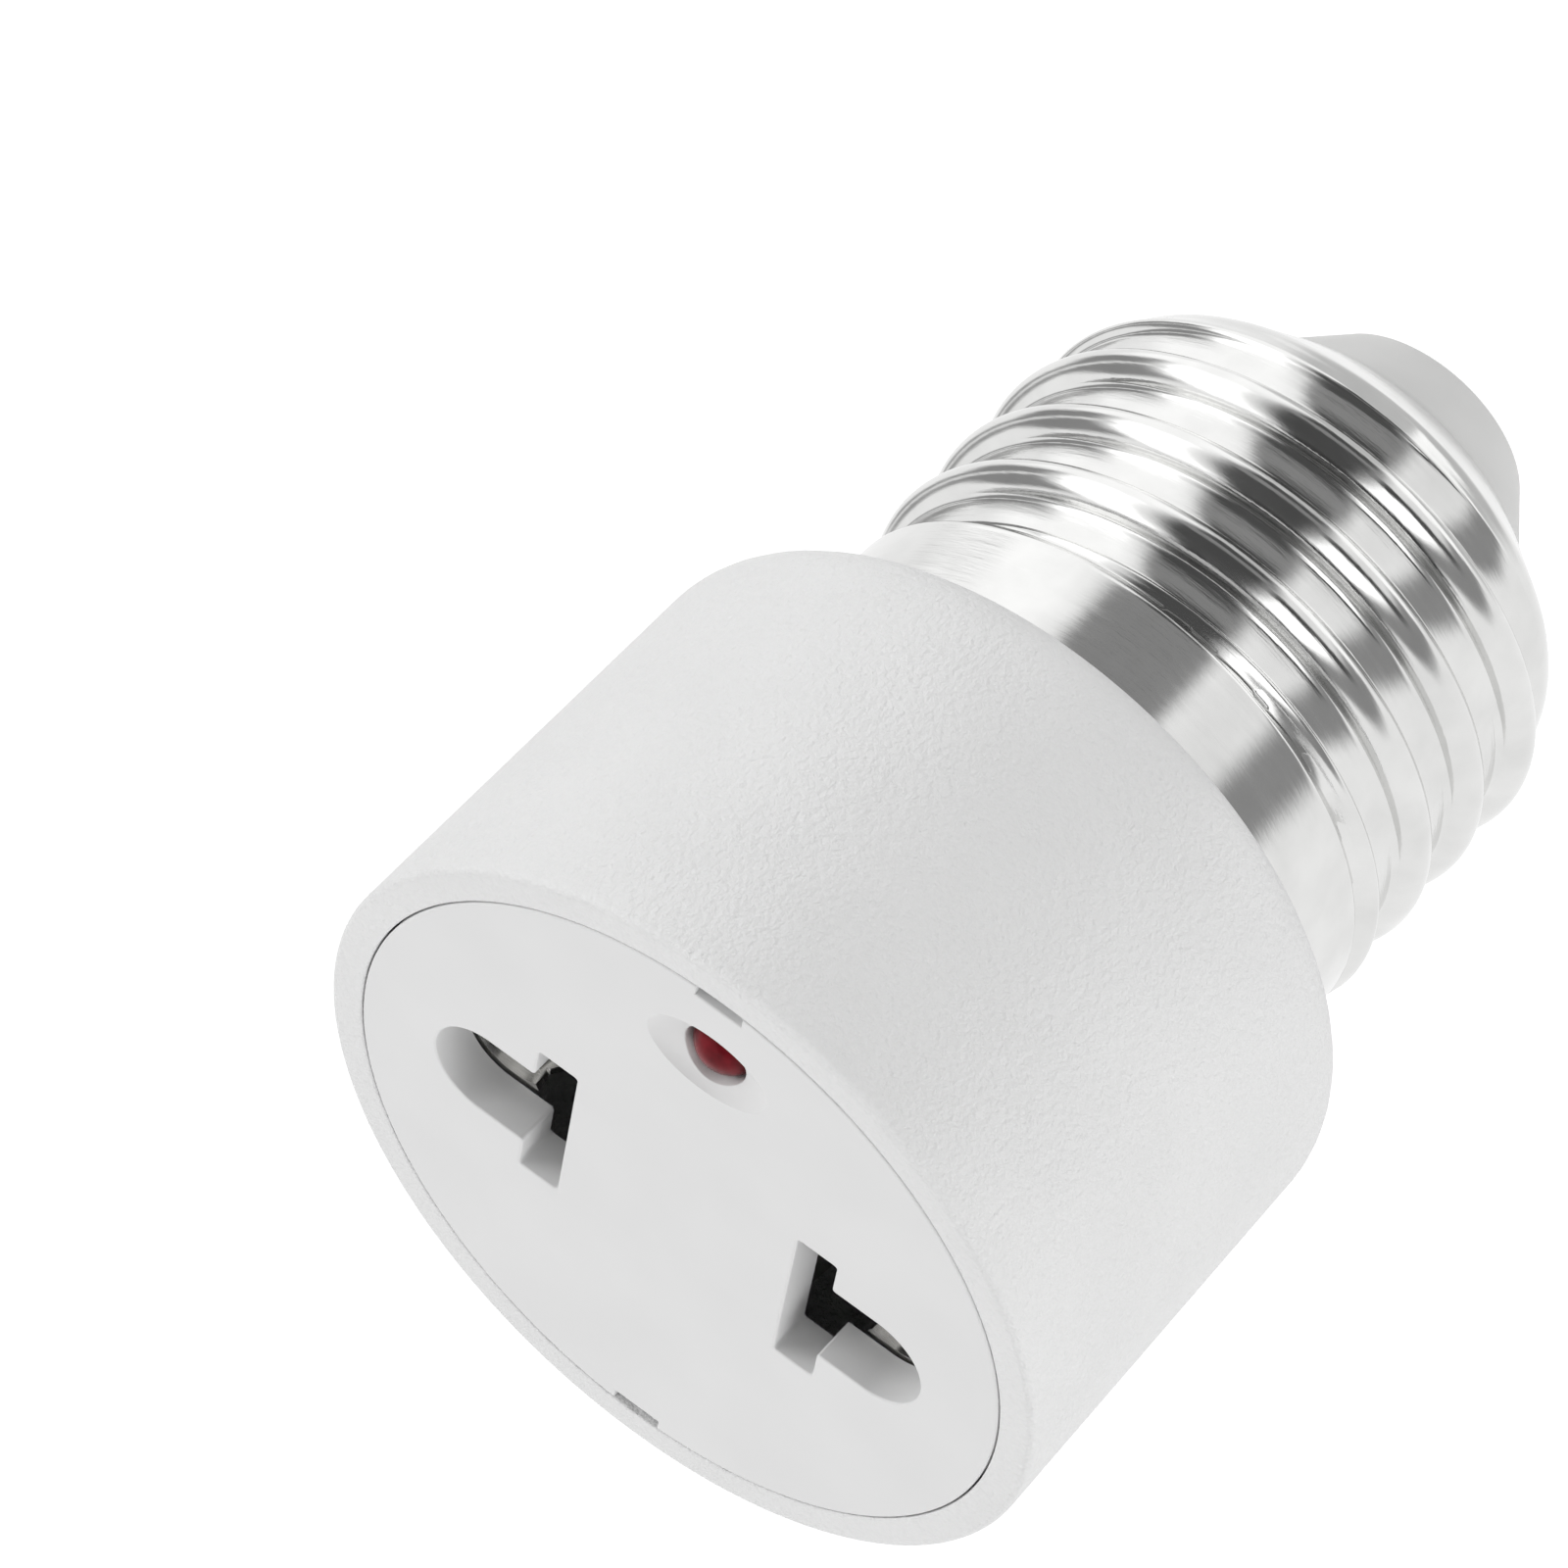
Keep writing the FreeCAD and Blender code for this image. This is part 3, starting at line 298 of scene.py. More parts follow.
def offset(loop, distance):
    """The loop moved outwards along its own corner normals, mitred. The loop runs anticlockwise."""
    before = loop - np.roll(loop, 1, axis=0)
    after = np.roll(loop, -1, axis=0) - loop
    n1 = np.column_stack([before[:, 1], -before[:, 0]]) / np.linalg.norm(before, axis=1)[:, None]
    n2 = np.column_stack([after[:, 1], -after[:, 0]]) / np.linalg.norm(after, axis=1)[:, None]
    n = n1 + n2
    n /= np.sum(n * n1, axis=1)[:, None]
    return loop + n * distance


def profile(corners, steps=5):
    """A (radius, height) line through (r, z, round) corners, each corner with its own tangent arc.

    An arc has so many steps for each 0.8 radians that it turns, and two more.
    """
    points = [np.array(corners[0][:2], float)]
    for last, here, following in zip(corners, corners[1:], corners[2:]):
        corner = np.array(here[:2], float)
        if len(here) < 3:
            points.append(corner)
            continue
        to_last = np.array(last[:2], float) - corner
        to_next = np.array(following[:2], float) - corner
        to_last /= np.linalg.norm(to_last)
        to_next /= np.linalg.norm(to_next)
        half = math.acos(np.clip(to_last @ to_next, -1, 1)) / 2
        reach = here[2] / math.tan(half)
        start, end = corner + to_last * reach, corner + to_next * reach
        count = max(3, int(steps * (math.pi - 2 * half) / 0.8) + 2)
        inwards = (to_last + to_next) / np.linalg.norm(to_last + to_next)
        middle = corner + inwards * here[2] / math.sin(half)
        for share in np.linspace(0, 1, count):
            way = start * (1 - share) + end * share - middle
            points.append(middle + way / np.linalg.norm(way) * here[2])
    points.append(np.array(corners[-1][:2], float))
    return np.array(points)


def turned(line, steps=RING_STEPS):
    """The surface of revolution of a (radius, height) line: (r cos t, r sin t, z)."""
    turn = np.linspace(0, 2 * math.pi, steps + 1)
    r, z = line[:, :1], line[:, 1:]
    height = np.broadcast_to(z, (len(line), steps + 1))
    return np.stack([r * np.cos(turn), r * np.sin(turn), height], axis=-1)


def prism(skin, outline, start, end, axis):
    """A straight bar with an outline across the named axis: "x" for an outline in (y, z), "y" in (x, z)."""
    column = 0 if axis == "x" else 1
    ends = [np.insert(outline, column, value, axis=1) for value in (start, end)]
    size = len(outline)
    caps = [tuple(range(size))[::-1], tuple(range(size, 2 * size))]
    sides = [(i, (i + 1) % size, size + (i + 1) % size, size + i) for i in range(size)]
    skin.add(np.vstack(ends), caps + sides)


# Materials

def colour(code):
    """An sRGB hex colour as the linear values that shaders take."""
    parts = [int(code[i:i + 2], 16) / 255 for i in (1, 3, 5)]
    return tuple(p / 12.92 if p <= 0.04045 else ((p + 0.055) / 1.055) ** 2.4 for p in parts) + (1.0,)


def add(tree, kind, settings=None, inputs=None):
    """One node of a material with its settings, and its inputs set or linked."""
    item = tree.nodes.new(kind)
    for key, value in (settings or {}).items():
        setattr(item, key, value)
    for key, value in (inputs or {}).items():
        if isinstance(value, bpy.types.NodeSocket):
            tree.links.new(value, item.inputs[key])
        else:
            item.inputs[key].default_value = value
    return item


def new_material(name, **finish):
    """A material with one principled shader, as (material, tree, shader, object coordinates)."""
    material = bpy.data.materials.new(name)
    material.use_nodes = True
    tree = material.node_tree
    shader = tree.nodes["Principled BSDF"]
    for key, value in finish.items():
        shader.inputs[key.replace("_", " ")].default_value = value
    place = tree.nodes.new("ShaderNodeTexCoord").outputs["Object"]
    return material, tree, shader, place


def noise(tree, place, size_mm, detail=2.0, roughness=0.5):
    """Noise whose blobs are about this many millimetres across."""
    return add(tree, "ShaderNodeTexNoise", inputs={
        "Vector": place,
        "Scale": 1 / (size_mm * MM),
        "Detail": detail,
        "Roughness": roughness}).outputs["Fac"]


# Most of a noise lies between these two values
NOISE_SPAN = (0.3, 0.7)


def tone(tree, shader, factor, dark, light):
    """Let the surface's colour wander between two close tones with a noise."""
    ramp = add(tree, "ShaderNodeValToRGB", inputs={"Fac": factor})
    for stop, position, code in zip(ramp.color_ramp.elements, NOISE_SPAN, (dark, light)):
        stop.position = position
        stop.color = colour(code)
    tree.links.new(ramp.outputs["Color"], shader.inputs["Base Color"])


def uneven_shine(tree, shader, factor, low, high):
    """Let the roughness wander between two values with a noise."""
    start, end = NOISE_SPAN
    rough = add(tree, "ShaderNodeMapRange", inputs={
        "Value": factor, "From Min": start, "From Max": end, "To Min": low, "To Max": high})
    tree.links.new(rough.outputs["Result"], shader.inputs["Roughness"])


def grain(tree, shader, factor, strength, depth_mm):
    """Tilt the surface as a relief of this depth would."""
    bump = add(tree, "ShaderNodeBump", inputs={
        "Height": factor, "Strength": strength, "Distance": depth_mm * MM})
    tree.links.new(bump.outputs["Normal"], shader.inputs["Normal"])


def spark_texture_plastic():
    """Polycarbonate from a spark-eroded mould: a soft matte grain of about a third of a millimetre."""
    material, tree, shader, place = new_material("spark_texture_polycarbonate", Roughness=0.5, IOR=1.58)
    pits = noise(tree, place, size_mm=0.3, detail=3.0, roughness=0.6)
    tone(tree, shader, noise(tree, place, size_mm=6.0), "#DFDFDF", "#E2E2E2")
    grain(tree, shader, pits, strength=0.9, depth_mm=0.15)
    uneven_shine(tree, shader, pits, low=0.46, high=0.6)
    return material


def satin_plate_plastic():
    """The face plate: the same white polycarbonate from a smoother, stoned mould, a touch greyer."""
    material, tree, shader, place = new_material("stoned_polycarbonate", Roughness=0.42, IOR=1.58)
    tone(tree, shader, noise(tree, place, size_mm=5.0), "#DBDBDB", "#DEDEDE")
    grain(tree, shader, noise(tree, place, size_mm=0.2), strength=0.12, depth_mm=0.03)
    return material


def nickel_plate(name, dark, light, low, high, ripple):
    """Bright nickel over rolled sheet: fine streaks run round the piece and smear what it mirrors."""
    material, tree, shader, place = new_material(name, Metallic=1.0)
    tone(tree, shader, noise(tree, place, size_mm=2.5, detail=3.0), dark, light)
    # the streaks are ten times as long round the piece as they are wide
    drawn_out = add(tree, "ShaderNodeMapping", inputs={"Vector": place, "Scale": (0.1, 0.1, 1.0)})
    streak = noise(tree, drawn_out.outputs["Vector"], size_mm=0.3, detail=4.0, roughness=0.65)
    uneven_shine(tree, shader, streak, low, high)
    grain(tree, shader, streak, strength=ripple, depth_mm=0.02)
    return material


def cap_insulator_plastic():
    """The tip's moulded thermoset: white, dense and satin, with a slight orange peel."""
    material, tree, shader, place = new_material(
        "white_thermoset", Roughness=0.45, IOR=1.6, Specular_IOR_Level=0.25)
    tone(tree, shader, noise(tree, place, size_mm=4.0), "#CACAC9", "#D0D0CF")
    grain(tree, shader, noise(tree, place, size_mm=0.6), strength=0.12, depth_mm=0.04)
    return material


def red_lens():
    """The indicator's dark red plastic: a deep colour in cloudy tones under a soft, weak shine."""
    material, tree, shader, place = new_material(
        "dark_red_acrylic", Roughness=0.25, IOR=1.49, Specular_IOR_Level=0.12)
    tone(tree, shader, noise(tree, place, size_mm=0.9), "#4C0810", "#7A1822")
    return material


def plain_finish(name, dark, light, size_mm, roughness, metallic=0.0):
    """An inner piece's finish: two close tones in soft patches of a given size."""
    material, tree, shader, place = new_material(name, Metallic=metallic, Roughness=roughness)
    tone(tree, shader, noise(tree, place, size_mm), dark, light)
    return material


HOUSING_FINISH = spark_texture_plastic()
PLATE_FINISH = satin_plate_plastic()
SHELL_FINISH = nickel_plate("drawn_nickel_plate", "#DADAD9", "#E4E4E3", low=0.07, high=0.17, ripple=0.5)
BUTTON_FINISH = nickel_plate("stamped_nickel_plate", "#D8D8D7", "#E2E2E1", low=0.16, high=0.26, ripple=0.3)
STRIP_FINISH = nickel_plate("rolled_spring_strip", "#CCCBC9", "#DAD9D6", low=0.14, high=0.28, ripple=0.3)
TIP_FINISH = cap_insulator_plastic()
LENS_FINISH = red_lens()
# the finish of the inner pieces, which keep their plain solids, by what they are made of
INNER_FINISHES = {
    "lead_metal": plain_finish("tinned_copper_lead", "#B8B8B8", "#CCCCCC", 0.5, metallic=1.0, roughness=0.3),
    "resistor_coat": plain_finish("tan_lacquer", "#C2A87A", "#CDB58A", 0.8, roughness=0.35),
    "diode_coat": plain_finish("black_epoxy", "#141416", "#1E1E20", 0.6, roughness=0.3),
    "wire_metal": plain_finish("bare_copper", "#B87A5A", "#C98B68", 0.5, metallic=1.0, roughness=0.3),
    "wire_cover": plain_finish("white_pvc", "#DADAD6", "#E2E2DE", 1.0, roughness=0.45),
    "solder": plain_finish("dull_solder", "#A8AAAC", "#BDBFC0", 0.3, metallic=1.0, roughness=0.35),
}


# Housing

def make_housing():
    """The cup as one turned skin: side, rounded shoulder, neck, bore and mouth. Ribs carry the contacts."""
    skin = Skin()
    # the profile starts and ends on the straight bore of the neck
    seam = (NECK_BORE, NECK_END + 1.0)
    skin.grid(turned(profile([
        seam,
        (NECK_BORE, NECK_END),
        (NECK_RADIUS, NECK_END),
        (NECK_RADIUS, CAP_LENGTH),
        (SIDE_RADIUS, CAP_LENGTH, SHOULDER_ROUND),
        (RIM_RADIUS, FACE, RIM_ROUND),
        (MOUTH_RADIUS, FACE, EDGE_ROUND),
        (MOUTH_RADIUS, PLATE_BACK),
        (BORE_RADIUS, PLATE_BACK),
        (BORE_FOOT_RADIUS, FLOOR_TOP),
        (NECK_BORE, FLOOR_TOP),
        seam,
    ])))
    rib_inner = BLADE_INNER - RIB_SETBACK
    rib_foot = FLOOR_TOP - RIB_DROP
    outline = np.array([
        (rib_inner, CONTACT_SEAT),
        (rib_inner, CONTACT_SEAT - RIB_TIP_HEIGHT),
        (NECK_BORE - RIB_TIP_WIDTH, rib_foot),
        (NECK_BORE + RIB_ROOT, rib_foot),
        (NECK_BORE + RIB_ROOT, FLOOR_TOP - RIB_ROOT),
        (BORE_FOOT_RADIUS + RIB_BITE, FLOOR_TOP - RIB_ROOT),
        (BORE_FOOT_RADIUS + RIB_BITE, CONTACT_SEAT),
    ])
    for hand in (1, -1):
        prism(skin, outline * [hand, 1], -RIB_THICKNESS / 2, RIB_THICKNESS / 2, "y")
    return skin.piece("housing_skin", HOUSING_FINISH, ["housing"])


# Face plate

def slot_loop():
    """The combined slot's outline: an upright blade slot with a round-ended pin slot out of its middle."""
    pin_end = PIN_X + PIN_HALF
    return rounded([
        (BLADE_INNER, -BLADE_HALF, SLOT_CORNER),
        (BLADE_OUTER, -BLADE_HALF, SLOT_CORNER),
        (BLADE_OUTER, -PIN_HALF, SLOT_CORNER),
        (pin_end, -PIN_HALF, PIN_HALF),
        (pin_end, PIN_HALF, PIN_HALF),
        (BLADE_OUTER, PIN_HALF, SLOT_CORNER),
        (BLADE_OUTER, BLADE_HALF, SLOT_CORNER),
        (BLADE_INNER, BLADE_HALF, SLOT_CORNER),
    ])


def plate_loop():
    """The plate's round edge with its two notches, each a shallow step across the edge."""
    start = math.asin(NOTCH_HALF / PLATE_RADIUS)
    side = np.linspace(start, math.pi - start, 140)
    arc = PLATE_RADIUS * np.column_stack([np.sin(side), np.cos(side)])
    # four points along the notch's floor
    across = NOTCH_HALF * np.array([1, 0.3, -0.3, -1])
    step = np.column_stack([across, np.full(4, NOTCH_DEPTH - PLATE_RADIUS)])
    half = np.vstack([arc, step])
    loop = np.vstack([half, -half])
    return loop[::-1]


def edge_rings(loop, outwards):
    """Rings that carry a quarter-round edge from the flat face down onto the wall."""
    rings = [(offset(loop, -outwards * (EDGE_ROUND + EDGE_STRIP)), FACE)]
    for angle in np.linspace(0, math.pi / 2, 5):
        inset = EDGE_ROUND * (1 - math.sin(angle))
        rings.append((offset(loop, -outwards * inset), FACE - EDGE_ROUND * (1 - math.cos(angle))))
    return rings


def dish_depth(x, y):
    """How deep the dish lies at a point: the cap of an ellipsoid, depth (2 sqrt(1 - 3/4 q squared) - 1)."""
    q = np.hypot(x / DISH_HALF_WIDTH, (y - LAMP_Y) / DISH_HALF_HEIGHT)
    return DISH_DEPTH * (2 * np.sqrt(1 - 0.75 * np.clip(q, 0, 1) ** 2) - 1)


def make_dish(skin):
    """The dish and the lamp's tube. Returns their outlines at the face and at the plate's back."""
    ray = np.linspace(0, 2 * math.pi, DISH_STEPS + 1)
    around = np.column_stack([np.cos(ray), np.sin(ray)])
    centre = np.array([0, LAMP_Y])

    # on rays from the lamp hole's rim to the dish's own rim, with a thin flat strip round it
    rim = centre + around * [DISH_HALF_WIDTH, DISH_HALF_HEIGHT]
    inner = centre + around * (LAMP_HOLE + LAMP_HOLE_ROUND)
    share = np.sin(np.linspace(0, math.pi / 2, 22))[:, None, None]
    flat = inner * (1 - share) + rim * share
    dish = np.dstack([flat, FACE - dish_depth(flat[..., 0], flat[..., 1])])
    skin.grid(dish)
    strip = offset(rim[:-1], DISH_STRIP)
    skin.band([(rim[:-1], FACE), (strip, FACE)])

    # over the hole's rounded rim, down the hole to the lamp's seat, and round the tube's foot
    bore = LAMP_RADIUS + LAMP_GAP
    tube = bore + LAMP_TUBE_WALL
    tube_foot = LAMP_FOOT + LAMP_FLANGE
    seat = LAMP_CENTRE + LAMP_SEAT_RISE
    rings = []
    for angle in np.linspace(0, math.pi / 2, 4):
        radius = LAMP_HOLE + LAMP_HOLE_ROUND * (1 - math.sin(angle))
        drop = LAMP_HOLE_ROUND * (1 - math.cos(angle))
        rings.append(np.column_stack([centre + around * radius, dish[0][:, 2] - drop]))
    for radius, height in (
            (LAMP_HOLE, seat), (bore, seat), (bore, tube_foot), (tube, tube_foot), (tube, PLATE_BACK)):
        rings.append(np.column_stack([centre + around * radius, np.full(DISH_STEPS + 1, height)]))
    skin.grid(np.array(rings))
    return strip, centre + around[:-1] * tube


def make_plate():
    """The face plate: flat face, slots, notches, oval dish, lamp tube and the two hooks."""
    skin = Skin()
    outer = plate_loop()
    outer_rings = edge_rings(outer, 1)
    skin.band(outer_rings + [(outer, PLATE_BACK)])
    holes = []
    slots = [slot_loop(), -slot_loop()]
    for slot in slots:
        rings = edge_rings(slot, -1)
        skin.band(rings + [(slot, PLATE_BACK)])
        holes.append(rings[0][0])
    strip, tube = make_dish(skin)
    skin.region(FACE, outer_rings[0][0], holes + [strip])
    skin.region(PLATE_BACK, outer, slots + [tube])

    outside = BORE_RADIUS - HOOK_GAP
    inside = outside - HOOK_THICKNESS
    root = PLATE_BACK + HOOK_ROOT
    end = PLATE_BACK - HOOK_LENGTH
    hook = np.array([
        (inside, root),
        (inside, end),
        (outside - BARB_SLOPE_START, end),
        (outside + BARB_REACH, end + BARB_SLOPE_HEIGHT),
        (outside + BARB_REACH, end + BARB_HEIGHT),
        (outside, end + BARB_HEIGHT),
        (outside, root),
    ])
    for hand in (1, -1):
        prism(skin, hook * [hand, 1], -HOOK_HALF_WIDTH, HOOK_HALF_WIDTH, "x")
    return skin.piece("face_plate_skin", PLATE_FINISH, ["face_plate"], crease=40)


# Screw shell

def shell_line(inset):
    """The shell's plain profile below and above the thread, set in by a distance, as (radius, height)."""
    valley = VALLEY_RADIUS - inset
    skirt = SKIRT_RADIUS - inset
    opening = OPENING_HEIGHT + inset
    # a sloping wall that is set in meets its neighbours a little higher
    lean = 0.4 * inset
    return profile([
        (OPENING_RADIUS, opening),
        (OPENING_RADIUS + OPENING_EDGE - 0.2 * inset, opening, OPENING_ROUND - 0.5 * inset),
        (valley, SHOULDER_END + 0.45 * inset, SHOULDER_FOOT_ROUND - inset),
        (valley, SKIRT_START - SKIRT_STEP + lean, SKIRT_FOOT_ROUND),
        (skirt, SKIRT_START + lean, SKIRT_ROUND),
        (skirt, LIP_START + lean, LIP_ROUND),
        (LIP_RADIUS - inset, CAP_LENGTH),
    ], steps=8)


def ridge_section(inset, flank_steps, valley_steps):
    """One pitch of the thread's section as (axial way, rise): a round crest, then the valley. A hollow arc
    at either foot touches the crest's arc and the valley, which is pressed a few hundredths hollow."""
    crest, hollow = RIDGE_RADIUS - inset, RIDGE_FOOT_ROUND + inset
    foot = math.sqrt((RIDGE_RADIUS + RIDGE_FOOT_ROUND) ** 2 - RIDGE_FOOT_ROUND ** 2)
    lean = math.atan2(RIDGE_FOOT_ROUND, foot)
    turn = np.linspace(math.pi - lean, lean, flank_steps)
    top = np.column_stack([crest * np.cos(turn), inset + crest * np.sin(turn)])
    bend = np.linspace(lean, math.pi / 2, 6)[1:]
    right = np.column_stack([foot - hollow * np.cos(bend), hollow - hollow * np.sin(bend)])
    share = np.linspace(0, 1, valley_steps + 2)[1:-1]
    valley = np.column_stack([foot + share * (PITCH - 2 * foot), -VALLEY_HOLLOW * np.sin(share * math.pi)])
    return np.vstack([right[::-1] * [-1, 1], top, right, valley])


def smooth_step(value):
    """0 below 0, 1 above 1, and a soft s-curve between them."""
    share = np.clip(value, 0, 1)
    return share ** 2 * (3 - 2 * share)


def shell_skin(inset, flank_steps, valley_steps, columns=RING_STEPS):
    """One side of the sheet, as the grids of its shoulder, thread and skirt. The thread's rows wind with it:
    height = start + pitch (turn + angle / 2 pi) + way."""
    line = shell_line(inset)
    turn = np.linspace(0, 2 * math.pi, columns + 1)
    section = ridge_section(inset, flank_steps, valley_steps)
    starts = THREAD_START + PITCH * (FIRST_TURN + np.arange(TURNS))
    centre = starts[:, None, None] + PITCH * turn[None, None, :] / (2 * math.pi)
    height = (centre + section[None, :, 0, None]).reshape(-1, columns + 1)
    rise = np.broadcast_to(section[None, :, 1, None], (TURNS, len(section), columns + 1))
    rise = rise.reshape(-1, columns + 1)
    grow = smooth_step((height - RUN_IN_START) / RUN_IN)
    fall = smooth_step((RUN_OUT_END - height) / RUN_OUT)
    height = np.clip(height, COIL_START, COIL_END)
    radius = np.interp(height, line[:, 1], line[:, 0]) + rise * grow * fall
    coil = np.stack([radius * np.cos(turn), radius * np.sin(turn), height], axis=-1)
    # rows of the plain line that would lie closer than this to the thread's first or last row are left out
    near = 0.02
    below = line[line[:, 1] < COIL_START - near]
    above = line[line[:, 1] > COIL_END + near]
    ends = [(np.interp(level, line[:, 1], line[:, 0]), level) for level in (COIL_START, COIL_END)]
    shoulder = turned(np.vstack([below, ends[:1]]), columns)
    skirt = turned(np.vstack([ends[1:], above]), columns)
    return shoulder, coil, skirt


def make_shell():
    """The rolled sheet shell: an outer and an inner skin joined at the opening and at the flared lip."""
    skin = Skin()
    outer = shell_skin(0.0, flank_steps=17, valley_steps=6)
    inner = shell_skin(SHEET, flank_steps=7, valley_steps=3)
    for part in (*outer, *inner):
        skin.grid(part)
    skin.grid(np.array([outer[0][0], inner[0][0]]))
    skin.grid(np.array([outer[2][-1], inner[2][-1]]))
    return skin.piece("screw_shell_skin", SHELL_FINISH, ["screw_shell"], crease=50)


# Tip

def make_tip():
    """The moulded cone with its softly rounded edges, closed on the inside by its flange and floor."""
    skin = Skin()
    under = OPENING_HEIGHT + SHEET
    cone_start = OPENING_RADIUS + OPENING_EDGE
    flange = cone_start + (VALLEY_RADIUS - SHEET - cone_start) * TIP_FLANGE_SHARE
    flange_foot = under + SHOULDER_CONE * TIP_FLANGE_SHARE
    flange_top = flange_foot + TIP_FLANGE_RISE
    floor_top = BUTTON_HEIGHT + TIP_FLOOR
    # the profile starts and ends on the straight hole for the centre contact
    seam = (BUTTON_SHANK, BUTTON_HEIGHT + 0.5)
    skin.grid(turned(profile([
        seam,
        (BUTTON_SHANK, BUTTON_HEIGHT),
        (TIP_END_RADIUS, BUTTON_HEIGHT, TIP_END_ROUND),
        (TIP_ROOT_RADIUS, OPENING_HEIGHT - TIP_BAND, TIP_ROOT_ROUND),
        (TIP_ROOT_RADIUS, under),
        (OPENING_RADIUS + TIP_BEVEL_WIDTH, under),
        (cone_start, under + TIP_BEVEL_HEIGHT),
        (flange, flange_foot),
        (flange, flange_top),
        (flange - TIP_WALL, flange_top),
        (TIP_ROOT_RADIUS - TIP_WALL, under + TIP_WALL),
        (TIP_END_RADIUS - TIP_WALL, floor_top),
        (BUTTON_SHANK, floor_top),
        seam,
    ]), TIP_STEPS))
    return skin.piece("tip_insulator_skin", TIP_FINISH, ["tip_insulator"])


def make_button():
    """The centre contact: a shallow dome, z = rise (r / R) squared, with a rolled edge and a shank."""
    skin = Skin()
    dome_radius = BUTTON_RADIUS - BUTTON_EDGE
    r = np.linspace(0, dome_radius, 24)
    dome = np.column_stack([r, BUTTON_HEIGHT * BUTTON_DOME_SHARE * (r / dome_radius) ** 2])
    shank_end = BUTTON_HEIGHT + TIP_FLOOR
    flare = BUTTON_SHANK + CLINCH_FLARE
    rest = profile([
        tuple(dome[-1]),
        (BUTTON_RADIUS + BUTTON_BULGE, BUTTON_HEIGHT - BUTTON_LIP, BUTTON_EDGE_ROUND),
        (BUTTON_RADIUS - BUTTON_LAND, BUTTON_HEIGHT),
        (BUTTON_SHANK, BUTTON_HEIGHT),
        (BUTTON_SHANK, shank_end),
        (flare, shank_end),
        (flare - CLINCH_BEVEL, shank_end + BUTTON_SHEET),
        (BUTTON_BORE, shank_end + BUTTON_SHEET),
        (BUTTON_BORE, BUTTON_HEIGHT + BUTTON_SHEET),
        (0, BUTTON_HEIGHT + BUTTON_SHEET),
    ])
    skin.grid(turned(np.vstack([dome, rest[1:]]), BUTTON_STEPS))
    return skin.piece("tip_contact_skin", BUTTON_FINISH, ["tip_contact"])


# Lamp and contacts

def make_lamp():
    """The indicator's domed bullet: a half ball on a round body with a flange at its foot."""
    skin = Skin()
    angle = np.linspace(0, math.pi / 2, 20)
    dome = np.column_stack([LAMP_RADIUS * np.cos(angle), LAMP_CENTRE + LAMP_RADIUS * np.sin(angle)])
    flange_top = LAMP_FOOT + LAMP_FLANGE
    foot = np.array([
        (0, LAMP_FOOT),
        (LAMP_FLANGE_RADIUS, LAMP_FOOT),
        (LAMP_FLANGE_RADIUS, flange_top),
        (LAMP_RADIUS, flange_top),
    ])
    skin.grid(turned(np.vstack([foot, dome]), LAMP_STEPS) + [0, LAMP_Y, 0])
    return skin.piece("indicator_lamp_skin", LENS_FINISH, ["indicator_lamp"])


def make_contact(node):
    """The folded contact strip: the solid's own surface, its points merged and its bends smoothed."""
    mesh = frame["nodes"][node].data.copy()
    mesh.name = node + "_skin"
    copy = bmesh.new()
    copy.from_mesh(mesh)
    bmesh.ops.remove_doubles(copy, verts=copy.verts, dist=STRIP_MERGE_DISTANCE)
    copy.to_mesh(mesh)
    copy.free()
    return finished(node + "_skin", mesh, STRIP_FINISH, [node], crease=30)


# Stage

# The camera's place in millimetres, its right and up, and its lens and sensor
CAMERA_PLACE = (96.77, 338.53, 233.04)
CAMERA_RIGHT = (0.78702, 0.11385, -0.60633)
CAMERA_UP = (-0.55966, 0.54527, -0.62406)
CAMERA_LENS = 234.6
SENSOR = 36.0

# The floor lies so low that a camera can look up at the tip from above it, in metres
FLOOR = -0.6
FLOOR_HALF = 4.0

# Light from all round, and what the eye sees on top of the light that the floor gives back
WORLD_LEVEL = 0.46
FLOOR_LIFT = 0.65

# What stands round the cap in the studio: azimuths, elevations and softness of the edge in degrees, level
STUDIO = {
    "white sheet low at the left": ((122, 185), (-75, -20), 16, 1.25),
    "table under the cap": ((-100, 280), (-90, -66), 10, 0.6),
    "reflector on the table": ((14, 76), (-90, -52), 12, 1.3),
    "grey flag at the right": ((14, 40), (-52, 62), 12, 0.3),
    "window": ((44, 62), (-48, 58), 12, 0.95),
    "window's upper pane": ((43, 69), (-2, 66), 8, 1.7),
    "dim wall across the window": ((34, 72), (-19, 1), 8, 0.08),
    "dark behind the camera": ((72, 114), (-62, 90), 13, 0.08),
    "table's edge in the dark": ((72, 114), (-38, -23), 6, 0.29),
    "ceiling": ((-12, 122), (58, 90), 12, 0.05),
    "strip lamp": ((124, 152), (-22, 58), 8, 1.7),
    "grey card's far end": ((176, 224), (-9, 20), 10, 0.4),
    "grey card at the left": ((156, 190), (-25, 46), 12, 0.3),
    "gap across the grey card": ((150, 240), (0, 8), 5, 0.85),
}
TENT_LEVEL = 1.02
TENT_RADIUS = 0.25

